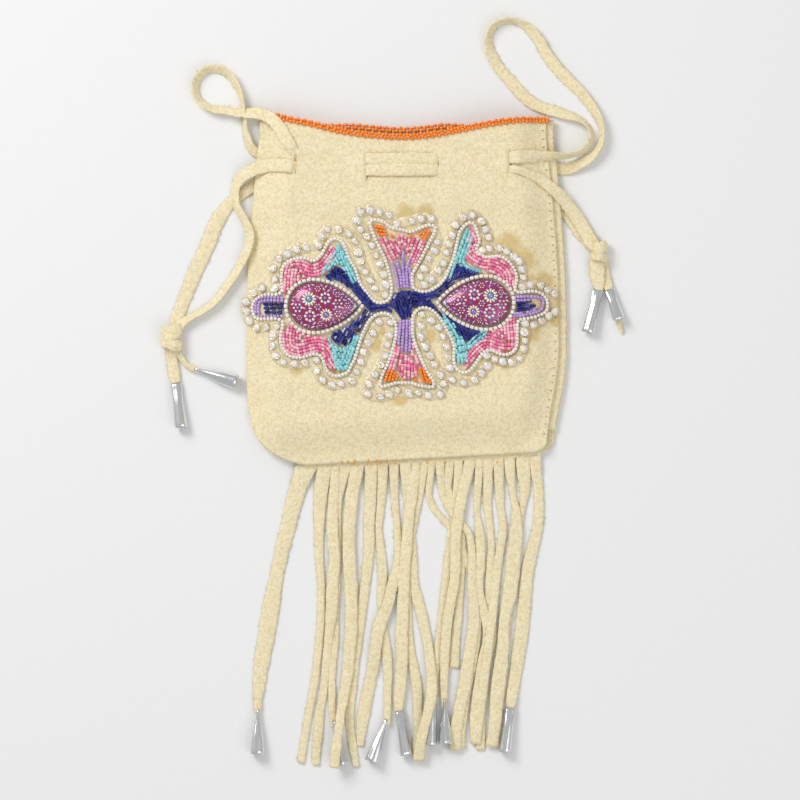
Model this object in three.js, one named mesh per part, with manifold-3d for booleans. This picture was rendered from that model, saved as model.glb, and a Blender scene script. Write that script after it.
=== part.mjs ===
// A drawstring medicine bag of pale suede, lying on its back with the mouth towards +Y.
// The front carries a beaded floral ornament, and a long cut fringe hangs from the bottom seam.
// Millimetres, +Z up. The origin is on the outer face of the back, near its middle.
import * as THREE from "three";
import { mergeVertices } from "three/addons/utils/BufferGeometryUtils.js";
import Module from "manifold-3d";

const wasm = await Module();
wasm.setup();

// Clearance between pieces that touch on the real bag
const GAP = 0.3;

// Bag body
const LEATHER = 1.2;
const BODY_MIDDLE_X = 1;
const BELLY_HALF_WIDTH = 69.3;
const MOUTH_HALF_WIDTH = 63.6;
const TAPER_LENGTH = 80;
const MOUTH_LOW_X = -2;
const MOUTH_LOW_Y = 66;
const MOUTH_RISE_LEFT = 9.7;
const MOUTH_RISE_RIGHT = 7.5;
const MOUTH_RISE_RUN = 57;
const BACK_MOUTH_EXTRA = 2.6;
const BOTTOM_LEFT_Y = -75.6;
const BOTTOM_SLOPE = 0.055;
const CORNER_LEFT = 24;
const CORNER_RIGHT = 9;
const PUFF = 5.2;
const PUFF_MARGIN_SIDE = 15;
const PUFF_MARGIN_BOTTOM = 20;
const WIDEST_STEP = 4;
const WELT_SHOW = 3.4;
const WELT_WIDTH = 9;

// Drawstrings and the slits they run through
const THONG_WIDTH = 4.8;
const THONG_THICKNESS = 1;
const THONG_SIDES = 8;
const LANE_GAP = 0.6;
const SLIT_MIDDLE_Y = 55;
const SLIT_END_ROOM = 0.6;
const SLIT_ROOM = 0.6;
const SLIT_X = [-47.4, -16.4, 13.9, 45.7];
const BAND_LOW_Y = 26;
const BAND_HIGH_Y = 40;

// Fringe and metal cones
const HEADER_ABOVE = 5;
const HEADER_BELOW = 2;
const STRAND_ENTRY_WIDTH = 2;
const CONE_LENGTH = 19.5;
const CONE_MOUTH_RADIUS = 2.9;
const CONE_TIP_RADIUS = 1.9;
const CONE_WALL = 0.4;
const CONE_SIDES = 14;
const CONE_GRIP = 5;

// Beadwork
const BEAD_HEIGHT = 1.6;
const PEARL_WIDTH = 1.6;
const STONE_WIDTH = 2.6;
const STONE_HEIGHT = 2.2;
const EDGING_WIDTH = 2;
const CABOCHON_LENGTH = 30;
const CABOCHON_WIDTH = 20;
const CABOCHON_HEIGHT = 5.4;
const CABOCHON_LEFT = [-35.1, -7.2];
const CABOCHON_RIGHT = [30.6, -5.7];

const clamp = THREE.MathUtils.clamp;
const ramp = (value, low, high) => THREE.MathUtils.smoothstep(value, low, high);

// Colours and finishes
const suede = new THREE.MeshStandardMaterial({ color: 0xece0bc, roughness: 0.95 });
const metal = new THREE.MeshStandardMaterial({ color: 0xc9ccd0, roughness: 0.25, metalness: 1 });
const pearl = new THREE.MeshStandardMaterial({ color: 0xf0ebdc, roughness: 0.3 });
const crystal = new THREE.MeshStandardMaterial({ color: 0xe4e0ea, roughness: 0.08, metalness: 0.3 });
const navy = new THREE.MeshStandardMaterial({ color: 0x0f0f6e, roughness: 0.15 });
const turquoise = new THREE.MeshStandardMaterial({ color: 0x50b9be, roughness: 0.2 });
const pink = new THREE.MeshStandardMaterial({ color: 0xeb508c, roughness: 0.2 });
const lavender = new THREE.MeshStandardMaterial({ color: 0xa582d7, roughness: 0.2 });
const orange = new THREE.MeshStandardMaterial({ color: 0xff7d14, roughness: 0.25 });
const magenta = new THREE.MeshStandardMaterial({ color: 0x8c0f50, roughness: 0.2, metalness: 0.4 });

const bag = new THREE.Group();

function addPiece(name, geometry, material) {
  const piece = new THREE.Mesh(geometry, material);
  piece.name = name;
  bag.add(piece);
}

function solidFrom(geometry) {
  const bare = geometry.clone();
  bare.deleteAttribute("normal");
  bare.deleteAttribute("uv");
  const merged = mergeVertices(bare, 1e-4);
  const mesh = new wasm.Mesh({
    numProp: 3,
    vertProperties: new Float32Array(merged.attributes.position.array),
    triVerts: new Uint32Array(merged.index.array),
  });
  return new wasm.Manifold(mesh);
}

function geometryFrom(solid) {
  const mesh = solid.getMesh();
  const geometry = new THREE.BufferGeometry();
  geometry.setAttribute("position", new THREE.BufferAttribute(mesh.vertProperties, 3));
  geometry.setIndex(new THREE.BufferAttribute(mesh.triVerts, 1));
  return geometry;
}

const joined = (solids) => solids.reduce((whole, next) => whole.add(next));

// Outline of the body
const taper = (y) => Math.sin((Math.PI / 2) * clamp((MOUTH_LOW_Y - y) / TAPER_LENGTH, 0, 1));
const halfWidth = (y) => MOUTH_HALF_WIDTH + (BELLY_HALF_WIDTH - MOUTH_HALF_WIDTH) * taper(y);
const leftEdge = (y) => BODY_MIDDLE_X - halfWidth(y);
const rightEdge = (y) => BODY_MIDDLE_X + halfWidth(y);
const bottomEdge = (x) => BOTTOM_LEFT_Y + BOTTOM_SLOPE * (x - BODY_MIDDLE_X + BELLY_HALF_WIDTH / 2);

function mouthEdge(x) {
  const rise = x < MOUTH_LOW_X ? MOUTH_RISE_LEFT : MOUTH_RISE_RIGHT;
  const run = Math.min(1, Math.abs(x - MOUTH_LOW_X) / MOUTH_RISE_RUN);
  return MOUTH_LOW_Y + (rise * (1 - Math.cos(Math.PI * run))) / 2;
}

// Heights of the two panels above the surface the bag lies on
const THONG_ROOM = THONG_THICKNESS + GAP;
const SEAM_ROOM = LEATHER + GAP;
const backUnder = (y) => THONG_ROOM * ramp(y, BAND_LOW_Y, BAND_HIGH_Y);
const backTop = (y) => backUnder(y) + LEATHER;

function frontUnder(x, y) {
  const fromLeft = ramp(x - leftEdge(y), 0, PUFF_MARGIN_SIDE);
  const fromRight = ramp(rightEdge(y) - WELT_SHOW - x, 0, PUFF_MARGIN_SIDE);
  const fromBottom = ramp(y - bottomEdge(x), 1, PUFF_MARGIN_BOTTOM);
  return backTop(y) + GAP + SEAM_ROOM * fromLeft + PUFF * fromLeft * fromRight * fromBottom;
}

const frontTop = (x, y) => frontUnder(x, y) + LEATHER;

// Lines of the grid that the front follows, close together where it slopes
function steps(low, high, count) {
  return Array.from({ length: count + 1 }, (_, i) => low + ((high - low) * i) / count);
}

const outerLeft = BODY_MIDDLE_X - BELLY_HALF_WIDTH - 6;
const outerRight = BODY_MIDDLE_X + BELLY_HALF_WIDTH + 6;
const closeSteps = (low, high) => steps(low, high, Math.ceil((high - low) / WIDEST_STEP));
const columns = [
  outerLeft,
  ...closeSteps(outerLeft + 6, leftEdge(SLIT_MIDDLE_Y) + PUFF_MARGIN_SIDE),
  BODY_MIDDLE_X,
  ...closeSteps(rightEdge(SLIT_MIDDLE_Y) - WELT_SHOW - PUFF_MARGIN_SIDE, outerRight - 6 - WELT_SHOW),
  outerRight,
];
const rows = [
  BOTTOM_LEFT_Y - 6,
  ...steps(BOTTOM_LEFT_Y, BOTTOM_LEFT_Y + PUFF_MARGIN_BOTTOM + 6, 5),
  -12,
  12,
  ...steps(BAND_LOW_Y, BAND_HIGH_Y, 4),
  SLIT_MIDDLE_Y,
  MOUTH_LOW_Y + 14,
];

// A sheet of one thickness over the grid
function sheetSolid(underside, thickness) {
  const geometry = new THREE.BoxGeometry(1, 1, 1, columns.length - 1, rows.length - 1, 1);
  const place = geometry.attributes.position;
  for (let i = 0; i < place.count; i++) {
    const x = columns[Math.round((place.getX(i) + 0.5) * (columns.length - 1))];
    const y = rows[Math.round((place.getY(i) + 0.5) * (rows.length - 1))];
    const raised = place.getZ(i) > 0 ? thickness : 0;
    place.setXYZ(i, x, y, underside(x, y) + raised);
  }
  return solidFrom(geometry);
}

// An upright prism over an outline
function prism(outline, low = -1, high = 40, holes = []) {
  const turned = (line, clockwise) => {
    return THREE.ShapeUtils.isClockWise(line) === clockwise ? line : line.slice().reverse();
  };
  const shape = new THREE.Shape(turned(outline, false));
  for (const hole of holes) shape.holes.push(new THREE.Path(turned(hole, true)));
  const geometry = new THREE.ExtrudeGeometry(shape, { depth: high - low, bevelEnabled: false });
  geometry.translate(0, 0, low);
  return solidFrom(geometry);
}

const points2 = (list) => list.map(([x, y]) => new THREE.Vector2(x, y));

// A flat strip along a route of [x, y, z] points, with its own width at each point
function stripSolid(route, widths, thickness) {
  const last = route.length - 1;
  const geometry = new THREE.BoxGeometry(1, 1, 1, 1, last, 1);
  const place = geometry.attributes.position;
  for (let i = 0; i < place.count; i++) {
    const row = Math.round((place.getY(i) + 0.5) * last);
    const before = route[Math.max(0, row - 1)];
    const after = route[Math.min(last, row + 1)];
    const along = new THREE.Vector2(after[0] - before[0], after[1] - before[1]).normalize();
    const side = place.getX(i) * widths[row];
    place.setXYZ(
      i,
      route[row][0] + along.y * side,
      route[row][1] - along.x * side,
      route[row][2] + place.getZ(i) * thickness,
    );
  }
  return solidFrom(geometry);
}

// Outline of the front or back, from the left end of the mouth anticlockwise
function bodyOutline(rightInset, mouthExtra) {
  const right = (y) => rightEdge(y) - rightInset;
  const cornerLeftY = BOTTOM_LEFT_Y + CORNER_LEFT;
  const cornerRightX = right(BOTTOM_LEFT_Y) - CORNER_RIGHT;
  const cornerRightY = bottomEdge(cornerRightX) + CORNER_RIGHT;
  const outline = steps(MOUTH_LOW_Y + MOUTH_RISE_LEFT, cornerLeftY, 8).map((y) => [leftEdge(y), y]);
  const cornerLeftX = leftEdge(cornerLeftY);
  const leftCorner = new THREE.QuadraticBezierCurve(
    new THREE.Vector2(cornerLeftX, cornerLeftY),
    new THREE.Vector2(cornerLeftX, BOTTOM_LEFT_Y + CORNER_LEFT / 5),
    new THREE.Vector2(cornerLeftX + CORNER_LEFT, bottomEdge(cornerLeftX + CORNER_LEFT)),
  );
  outline.push(...leftCorner.getPoints(5).slice(1).map((p) => [p.x, p.y]));
  outline.push([cornerRightX, bottomEdge(cornerRightX)]);
  outline.push([right(cornerRightY) - 1, cornerRightY - CORNER_RIGHT / 2]);
  outline.push(...steps(cornerRightY, MOUTH_LOW_Y + MOUTH_RISE_RIGHT, 8).map((y) => [right(y), y]));
  const mouthRight = right(MOUTH_LOW_Y + MOUTH_RISE_RIGHT);
  const mouthLeft = leftEdge(MOUTH_LOW_Y + MOUTH_RISE_LEFT);
  const mouth = steps(mouthRight - 2, mouthLeft + 2, 14);
  outline.push(...mouth.map((x) => [x, mouthEdge(x) + mouthExtra]));
  return points2(outline);
}

// Slits, one set in each panel
const LANE = THONG_WIDTH + LANE_GAP;
const LANE_HIGH = SLIT_MIDDLE_Y + LANE / 2;
const LANE_LOW = SLIT_MIDDLE_Y - LANE / 2;
const SLIT_LENGTH = LANE + THONG_WIDTH + 2 * SLIT_END_ROOM;
const SLIT_GAPE = LEATHER + 1.6 * THONG_THICKNESS + SLIT_ROOM;
const slits = joined(
  SLIT_X.map((x) => {
    const box = new THREE.BoxGeometry(SLIT_GAPE, SLIT_LENGTH, 60);
    return solidFrom(box.translate(x, SLIT_MIDDLE_Y, 0));
  }),
);

const frontSheet = sheetSolid(frontUnder, LEATHER);
const backSheet = sheetSolid((x, y) => backUnder(y), LEATHER);
const frontPanel = frontSheet.intersect(prism(bodyOutline(WELT_SHOW, 0))).subtract(slits);
const backPanel = backSheet.intersect(prism(bodyOutline(0, BACK_MOUTH_EXTRA))).subtract(slits);
addPiece("front_panel", geometryFrom(frontPanel), suede);
addPiece("back_panel", geometryFrom(backPanel), suede);

// Welt sewn into the right side seam
const weltTop = MOUTH_LOW_Y + MOUTH_RISE_RIGHT;
const weltBottom = bottomEdge(rightEdge(0)) + CORNER_RIGHT;
const weltRows = [weltBottom, -10, BAND_LOW_Y, ...steps(BAND_LOW_Y + 2, BAND_HIGH_Y, 3), weltTop];
const weltRoute = weltRows.map((y) => [
  rightEdge(y) - WELT_WIDTH / 2,
  y,
  backTop(y) + GAP + LEATHER / 2,
]);
const weltSolid = stripSolid(weltRoute, weltRoute.map(() => WELT_WIDTH), LEATHER);
addPiece("side_welt", geometryFrom(weltSolid), suede);

// Bead edging round the mouth
function edging(mouthExtra, middleHeight) {
  const left = leftEdge(MOUTH_LOW_Y + MOUTH_RISE_LEFT) + 3;
  const right = rightEdge(MOUTH_LOW_Y + MOUTH_RISE_RIGHT) - WELT_SHOW - 3;
  const route = steps(left, right, 20).map((x) => {
    const y = mouthEdge(x) + mouthExtra + GAP + EDGING_WIDTH / 2;
    return [x, y + 0.15, middleHeight(x, y)];
  });
  return geometryFrom(stripSolid(route, route.map(() => EDGING_WIDTH), LEATHER + 2 * GAP));
}

addPiece("mouth_edging_front", edging(0, (x, y) => frontUnder(x, y) + LEATHER / 2), orange);
addPiece("mouth_edging_back", edging(BACK_MOUTH_EXTRA, (x, y) => backUnder(y) + LEATHER / 2), orange);

// Cones 5 and 6 lie side by side, and two strands end beside cone 6. One strand lies over cone 2.
const FLAT = LEATHER / 2;
const CONE_5_X = 12.2;
const CONE_6_X = CONE_5_X + 2 * CONE_MOUTH_RADIUS - 1;
const BESIDE_CONE_6 = CONE_6_X + CONE_MOUTH_RADIUS;
const OVER_CONE = 2 * CONE_MOUTH_RADIUS + GAP + FLAT;

// Fringe strands, left to right. Each lists [x, distance below the seam, height] and its width.
// A strand that ends in a metal cone narrows where it enters it.
const strands = [
  {
    route: [
      [-43, 6], [-48.5, 18], [-52.5, 41], [-56.5, 57],
      [-59.5, 74], [-62, 89], [-63.6, 100],
    ],
    width: 6.6, cone: [-0.4, -20],
  },
  {
    route: [
      [-35, 6], [-36.9, 20], [-36.8, 44], [-36.6, 72],
      [-39.2, 96], [-43.6, 121], [-45.3, 130.5],
    ],
    width: 3.6,
  },
  {
    route: [
      [-30, 6], [-31.2, 20], [-31, 44], [-32, 70],
      [-35.4, 96], [-37.6, 117], [-38.7, 131],
    ],
    width: 4.2,
  },
  {
    route: [
      [-25.8, 6], [-28.4, 24], [-30.4, 52],
      [-32, 84], [-31.9, 106],
    ],
    width: 3.4, cone: [3.9, -20.4],
  },
  {
    route: [
      [-20.7, 6],
      [-24.2, 25],
      [-23.6, 50],
      [-23.5, 72],
      [-25.4, 93],
      [-27.2, 101, OVER_CONE - 3.7],
      [-28.8, 108, OVER_CONE - 1.1],
      [-30.6, 128, OVER_CONE + 0.7],
    ],
    width: 4.6,
  },
  { route: [[-14.7, 6], [-16.3, 36], [-18.4, 60], [-21.6, 84], [-23.8, 109], [-21.4, 131.5]], width: 3.6 },
  {
    route: [
      [-9.6, 6], [-11.4, 30], [-10, 53],
      [-9.7, 76], [-7.4, 94], [-6.2, 106.5],
    ],
    width: 3.6, cone: [-6.3, -19.1],
  },
  {
    route: [
      [-4.8, 6], [-4.3, 23], [-3, 42], [-5.8, 58],
      [-10.6, 72], [-14.4, 92], [-19.4, 114], [-19.4, 123],
    ],
    width: 3.8,
  },
  { route: [[0.3, 6], [2, 30], [4, 52], [7.4, 72], [10.2, 94], [5.8, 114], [5.2, 130]], width: 3.8 },
  {
    route: [
      [4.6, 6], [2.4, 25], [-0.3, 48],
      [-1, 68], [-2.2, 90], [-3.2, 103.5],
    ],
    width: 5, cone: [3.2, -21.2],
  },
  { route: [[8.6, 6], [5.2, 26], [0.8, 46], [1.6, 76], [4.6, 94], [6, 115], [5.6, 128]], width: 3.4 },
  { route: [[11.8, 6], [11.4, 16], [17, 27], [24, 42], [32.6, 58], [31, 84], [29.6, 112]], width: 3 },
  {
    route: [
      [15.2, 6], [16.6, 16], [27, 30], [30, 50],
      [29.4, 70], [26, 98], [BESIDE_CONE_6 + 2.5, 125],
    ],
    width: 3.6,
  },
  { route: [[19.4, 6], [19, 14], [26, 28], [24.6, 52], [23.2, 72], [22, 90]], width: 4 },
  {
    route: [
      [23.8, 5], [22.4, 20], [20.6, 44],
      [17, 72], [13.8, 89], [CONE_5_X, 100],
    ],
    width: 3.4, cone: [-0.8, -18.6],
  },
  {
    route: [
      [28, 5], [24, 18], [22, 44],
      [19, 74], [17.4, 89], [CONE_6_X, 99.5],
    ],
    width: 4.6, cone: [0.6, -20.6],
  },
  {
    route: [
      [32.2, 5], [31.4, 18], [32.8, 36], [31.8, 60],
      [26.8, 88], [BESIDE_CONE_6 + 3.3, 110], [BESIDE_CONE_6 + 2.7, 127],
    ],
    width: 3.6,
  },
  { route: [[36.1, 5], [36.6, 28], [37, 46], [36.4, 72], [32.4, 106], [31.6, 127]], width: 4 },
  { route: [[41, 5], [41.6, 22], [40, 45], [38, 72], [35.4, 88], [31.9, 108], [31.9, 124]], width: 4 },
  { route: [[45.9, 5], [48, 25], [47.4, 42], [43.4, 66], [41, 88], [39.2, 110], [37.8, 127]], width: 4.8 },
  { route: [[51.4, 5], [51.2, 20], [48, 40], [44, 62], [42, 80], [40, 104]], width: 4 },
  {
    route: [
      [56.6, 5], [58, 22], [56.4, 38], [53, 54],
      [51, 74], [48.6, 92], [47, 105],
    ],
    width: 5, cone: [-2.8, -19.4],
  },
];

const CONE_LEAN = Math.atan2(CONE_MOUTH_RADIUS - CONE_TIP_RADIUS, CONE_LENGTH);
const CONE_ENTRY_HEIGHT = CONE_TIP_RADIUS / Math.cos(CONE_LEAN);

// A metal cone lying on the surface, with its small end at a strand's end and its mouth down the run
function coneGeometry(entry, run) {
  const profile = points2([
    [CONE_TIP_RADIUS - CONE_WALL, 0],
    [CONE_TIP_RADIUS, 0],
    [CONE_MOUTH_RADIUS, CONE_LENGTH],
    [CONE_MOUTH_RADIUS - CONE_WALL, CONE_LENGTH],
    [CONE_TIP_RADIUS - CONE_WALL, 0],
  ]);
  const along = new THREE.Vector3(run[0], run[1], 0).normalize();
  along.multiplyScalar(Math.cos(CONE_LEAN)).z = Math.sin(CONE_LEAN);
  const geometry = new THREE.LatheGeometry(profile, CONE_SIDES);
  const turn = new THREE.Quaternion().setFromUnitVectors(new THREE.Vector3(0, 1, 0), along);
  geometry.applyQuaternion(turn);
  geometry.computeBoundingBox();
  return geometry.translate(entry[0], entry[1], entry[2] ?? -geometry.boundingBox.min.z);
}

let coneNumber = 0;
const fringePieces = [];

for (const strand of strands) {
  const header = strand.route[0][0];
  const seam = bottomEdge(header);
  const route = [
    [header, seam + 1, backTop(seam) + GAP + FLAT],
    [header, seam - HEADER_BELOW, backTop(seam) + GAP + FLAT],
    ...strand.route.map(([x, drop, height = FLAT]) => [x, seam - drop, height]),
  ];
  const widths = route.map(() => strand.width);
  if (strand.cone) {
    const [x, y] = route[route.length - 1];
    const run = new THREE.Vector2(...strand.cone).normalize();
    widths[widths.length - 1] = strand.width * 0.8;
    route.push([x + run.x * 5, y + run.y * 5, CONE_ENTRY_HEIGHT - 0.2]);
    widths.push(STRAND_ENTRY_WIDTH);
    const grip = 6 + CONE_GRIP;
    route.push([x + run.x * grip, y + run.y * grip, CONE_ENTRY_HEIGHT + 0.2]);
    widths.push(STRAND_ENTRY_WIDTH);
    coneNumber += 1;
    addPiece("fringe_cone_" + coneNumber, coneGeometry([x + run.x * 6, y + run.y * 6], strand.cone), metal);
  }
  fringePieces.push(stripSolid(route, widths, LEATHER));
}

const headerLeft = strands[0].route[0][0] - 3.3;
const headerRight = strands[strands.length - 1].route[0][0] + 2.5;
const headerRoute = [headerLeft, headerRight].map((x) => [
  x,
  bottomEdge(x) + (HEADER_ABOVE - HEADER_BELOW) / 2,
  backTop(bottomEdge(x)) + GAP + FLAT,
]);
fringePieces.push(stripSolid(headerRoute, [1, 1].map(() => HEADER_ABOVE + HEADER_BELOW), LEATHER));
addPiece("fringe", geometryFrom(joined(fringePieces)), suede);

// Thong of a drawstring. It keeps its width level all along and takes one step per point.
class ThongRoute extends THREE.CatmullRomCurve3 {
  getUtoTmapping(share) {
    return share;
  }

  computeFrenetFrames(count) {
    const frames = { tangents: [], normals: [], binormals: [] };
    for (let i = 0; i <= count; i++) {
      const tangent = this.getTangentAt(i / count);
      const across = new THREE.Vector3(0, 0, 1).cross(tangent).normalize();
      frames.tangents.push(tangent);
      frames.binormals.push(across);
      frames.normals.push(across.clone().cross(tangent));
    }
    return frames;
  }
}

function thongSolid(route) {
  const section = [];
  for (let i = 0; i < THONG_SIDES; i++) {
    const angle = ((i + 0.5) * 2 * Math.PI) / THONG_SIDES;
    const square = (value) => Math.sign(value) * Math.sqrt(Math.abs(value));
    const reach = 1 / square(Math.cos(Math.PI / THONG_SIDES));
    section.push([
      (square(Math.sin(angle)) * reach * THONG_THICKNESS) / 2,
      (square(Math.cos(angle)) * reach * THONG_WIDTH) / 2,
    ]);
  }
  const curve = new ThongRoute(route.map((p) => new THREE.Vector3(...p)), false, "centripetal");
  const shape = new THREE.Shape(points2(section));
  return solidFrom(new THREE.ExtrudeGeometry(shape, { steps: route.length - 1, extrudePath: curve }));
}

// Heights of a thong's middle
const HALF = THONG_THICKNESS / 2;
const STACK = THONG_THICKNESS + GAP;
const onTable = (x, y, layer = 0) => [x, y, HALF + layer * STACK];
const overFront = (x, y, extra = 0) => [x, y, frontTop(x, y) + GAP + HALF + extra];
const underFront = (x, y, layer = 0) => [x, y, frontUnder(x, y) - GAP - HALF - layer * STACK];
const overBack = (x, y, layer = 0) => [x, y, backTop(y) + GAP + HALF + layer * STACK];
const underBack = (x, y) => [x, y, backUnder(y) - GAP - HALF];

// The run through one panel's four slits, from left to right. A thong that changes lanes does so
// inside the bag between the first two slits, and the one named as deeper passes beneath the other.
function threadedRun(startLane, endLane, deeper, outside, inside) {
  const reach = SLIT_GAPE / 2;
  const through = (x, lane, before, after) => {
    const from = before(x - reach, lane);
    const to = after(x + reach, lane);
    return [from, [x, lane, (from[2] + to[2]) / 2], to];
  };
  const layer = deeper ? 1 : 0;
  const middle = (startLane + endLane) / 2;
  return [
    ...through(SLIT_X[0], startLane, outside, inside),
    inside(SLIT_X[0] + 7, startLane, layer),
    inside(SLIT_X[0] + 10, startLane, layer),
    inside((SLIT_X[0] + SLIT_X[1]) / 2, middle, layer),
    inside(SLIT_X[1] - 10, endLane, layer),
    inside(SLIT_X[1] - 7, endLane, layer),
    ...through(SLIT_X[1], endLane, inside, outside),
    ...through(SLIT_X[2], endLane, outside, inside),
    ...through(SLIT_X[3], endLane, inside, outside),
  ];
}

// Left drawstring: its ends hang on the left and its loop lies on the right
const leftTailFront = [
  [-100.6, -18.6, 3.6],
  [-98.4, -15.6, 3],
  onTable(-95.3, -13, 1),
  onTable(-89, -9.4, 1),
  onTable(-82.7, -5, 0),
  onTable(-77.4, 2.2, 0),
  onTable(-73.2, 10, 0),
  [-71.6, 17.5, 2.2],
  [-71.2, 24.4, 2.6],
  [-72, 30, 2.4],
  onTable(-74, 36, 1),
  onTable(-75, 40.6, 1),
  onTable(-74.2, 45.4, 1),
  [-70.6, 49.8, 3.8],
  overFront(-66, 51.8, 0.7),
  overFront(-61, LANE_LOW, 0.8),
  overFront(-55, LANE_LOW, 0.4),
];
const leftTailBack = [
  underBack(-53, LANE_LOW),
  underBack(-58, 50),
  onTable(-65.3, 45.7),
  onTable(-71.3, 41.6),
  onTable(-76.6, 37.4),
  onTable(-81.8, 29.8),
  onTable(-86.1, 18.7),
  onTable(-90.9, 8.7),
  onTable(-94.6, -0.4),
  onTable(-98.3, -8.6),
  [-100.2, -14, 0.9],
  [-101, -18.6, 2],
];
const rightLoop = [
  overFront(52, LANE_HIGH),
  overFront(58, LANE_HIGH),
  overFront(64.5, 57.6, 0.4),
  [71.4, 57.8, 2.6],
  onTable(77.6, 60.2, 0),
  onTable(81, 65, 0),
  onTable(80.4, 70.2, 0),
  onTable(76.6, 74.2, 0),
  onTable(69.2, 76.8, 0),
  onTable(63.1, 78.4, 0),
  onTable(57.4, 80.4, 0),
  onTable(52.2, 83.5, 0),
  onTable(47.4, 89.2, 0),
  onTable(41.3, 96.1, 0),
  onTable(37.8, 102.2, 0),
  onTable(36.3, 107.6, 0),
  onTable(37.4, 112.8, 0),
  onTable(41.6, 116.4, 0),
  onTable(47.6, 116.8, 0),
  onTable(53.1, 114.1, 0),
  onTable(57.6, 109.4, 0),
  onTable(60.9, 103.5, 0),
  onTable(64.8, 97.9, 0),
  onTable(70, 92.2, 0),
  onTable(76.1, 86.1, 0),
  onTable(81.3, 79.2, 1),
  onTable(84.6, 72, 1),
  onTable(84.6, 64.4, 1),
  onTable(81, 58.4, 1),
  [75.4, 54.4, 0.9],
  onTable(69.4, 52.6, 0),
  underBack(62, 53.4),
  underBack(54, LANE_HIGH - 1),
];

// Right drawstring: its ends hang on the right and its loop lies on the left
const rightTailFront = [
  overFront(51.2, LANE_LOW - 0.6, 0.2),
  overFront(57, LANE_LOW - 3.4, 0.7),
  overFront(63, 44.4, 1.2),
  [68.6, 40, 5.4],
  [73.2, 34, 2.8],
  onTable(76.4, 28.2, 1),
  onTable(79.6, 23.2, 1),
  [82.2, 20, 3],
  [83.6, 18, 3.6],
];
const rightTailBack = [
  [83, 18, 1.9],
  [80.4, 21, 0.8],
  onTable(77.4, 24.6),
  onTable(74, 29.5),
  onTable(70.5, 35),
  onTable(66, 40.4),
  underBack(58, 46.4),
  underBack(52, LANE_LOW - 1),
];
const leftLoop = [
  overFront(-51, LANE_HIGH + 1.2, 0.4),
  overFront(-54, 64.6, 1.2),
  overFront(-56.4, 70, 1.6),
  overFront(-59.4, 74.8, 1.6),
  [-63.8, 77.6, 5.4],
  [-68, 77.8, 3.2],
  onTable(-73, 77.6, 1),
  onTable(-78, 78, 0),
  onTable(-83, 78.2, 0),
  onTable(-87, 80.2, 0),
  onTable(-90.2, 83.8, 0),
  onTable(-91, 88.4, 0),
  onTable(-89.6, 92.8, 0),
  onTable(-86, 95.6, 0),
  onTable(-81.4, 96, 0),
  onTable(-77, 94, 0),
  onTable(-73.4, 89.4, 0),
  onTable(-71.2, 84, 0),
  onTable(-70.4, 77.9, 0),
  onTable(-69.6, 71, 0),
  onTable(-68.6, 65, 0),
  onTable(-66.4, 60.4, 0),
  underBack(-60, 58),
  underBack(-54, LANE_HIGH),
];

const leftRoute = [
  ...leftTailFront,
  ...threadedRun(LANE_LOW, LANE_HIGH, true, overFront, underFront),
  ...rightLoop,
  ...threadedRun(LANE_LOW, LANE_HIGH, true, underBack, overBack).reverse(),
  ...leftTailBack,
];
const rightRoute = [
  ...rightTailFront.slice().reverse(),
  ...threadedRun(LANE_HIGH, LANE_LOW, false, overFront, underFront).reverse(),
  ...leftLoop,
  ...threadedRun(LANE_HIGH, LANE_LOW, false, underBack, overBack),
  ...rightTailBack.slice().reverse(),
];

// Knots, each with the two thong ends that leave it for their cones
function knotSolid(centre, radii, grow = 0) {
  const ball = new THREE.SphereGeometry(1, 12, 8);
  ball.scale(radii[0] + grow, radii[1] + grow, radii[2] + grow);
  return solidFrom(ball.translate(...centre));
}

function knotWithEnds(name, centre, radii, ends) {
  const pieces = [knotSolid(centre, radii)];
  ends.forEach(({ route, run }, number) => {
    const [x, y] = route[route.length - 1];
    const along = new THREE.Vector2(...run).normalize();
    const entry = [x + along.x * 3, y + along.y * 3];
    const path = [
      ...route,
      [entry[0] - along.x, entry[1] - along.y, CONE_ENTRY_HEIGHT - 0.1],
      [entry[0] + along.x * CONE_GRIP, entry[1] + along.y * CONE_GRIP, CONE_ENTRY_HEIGHT + 0.2],
    ];
    const widths = path.map(() => STRAND_ENTRY_WIDTH);
    pieces.push(stripSolid(path, widths, THONG_THICKNESS));
    addPiece(name + "_cone_" + (number + 1), coneGeometry(entry, run), metal);
  });
  addPiece(name + "_knot", geometryFrom(joined(pieces)), suede);
}

const LEFT_KNOT = [-101.4, -20.9, 3.4];
const LEFT_KNOT_RADII = [5, 5.9, 3.4];
const RIGHT_KNOT = [84.4, 16.4, 3.2];
const RIGHT_KNOT_RADII = [3.8, 4.6, 3.2];
knotWithEnds("left_drawstring", LEFT_KNOT, LEFT_KNOT_RADII, [
  { route: [[-101.4, -24, 3], [-101.2, -29.5, 1.6], [-99.8, -37.5, 1.4]], run: [2.3, -18.7] },
  { route: [[-100.4, -24, 3], [-97.4, -29.4, 1.8], [-94.6, -33.4, 1.4]], run: [18.6, -5.6] },
]);
knotWithEnds("right_drawstring", RIGHT_KNOT, RIGHT_KNOT_RADII, [
  { route: [[83.4, 14, 2.6], [83.6, 9.6, 1.6], [84.6, 3, 1.4]], run: [-4.6, -17.4] },
  { route: [[85.4, 14, 2.6], [87, 9.6, 1.6], [88.4, 3, 1.4]], run: [5.2, -17.6] },
]);

const leftThong = thongSolid(leftRoute).subtract(knotSolid(LEFT_KNOT, LEFT_KNOT_RADII, GAP));
const rightThong = thongSolid(rightRoute).subtract(knotSolid(RIGHT_KNOT, RIGHT_KNOT_RADII, GAP));
addPiece("left_drawstring", geometryFrom(leftThong), suede);
addPiece("right_drawstring", geometryFrom(rightThong), suede);

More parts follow.
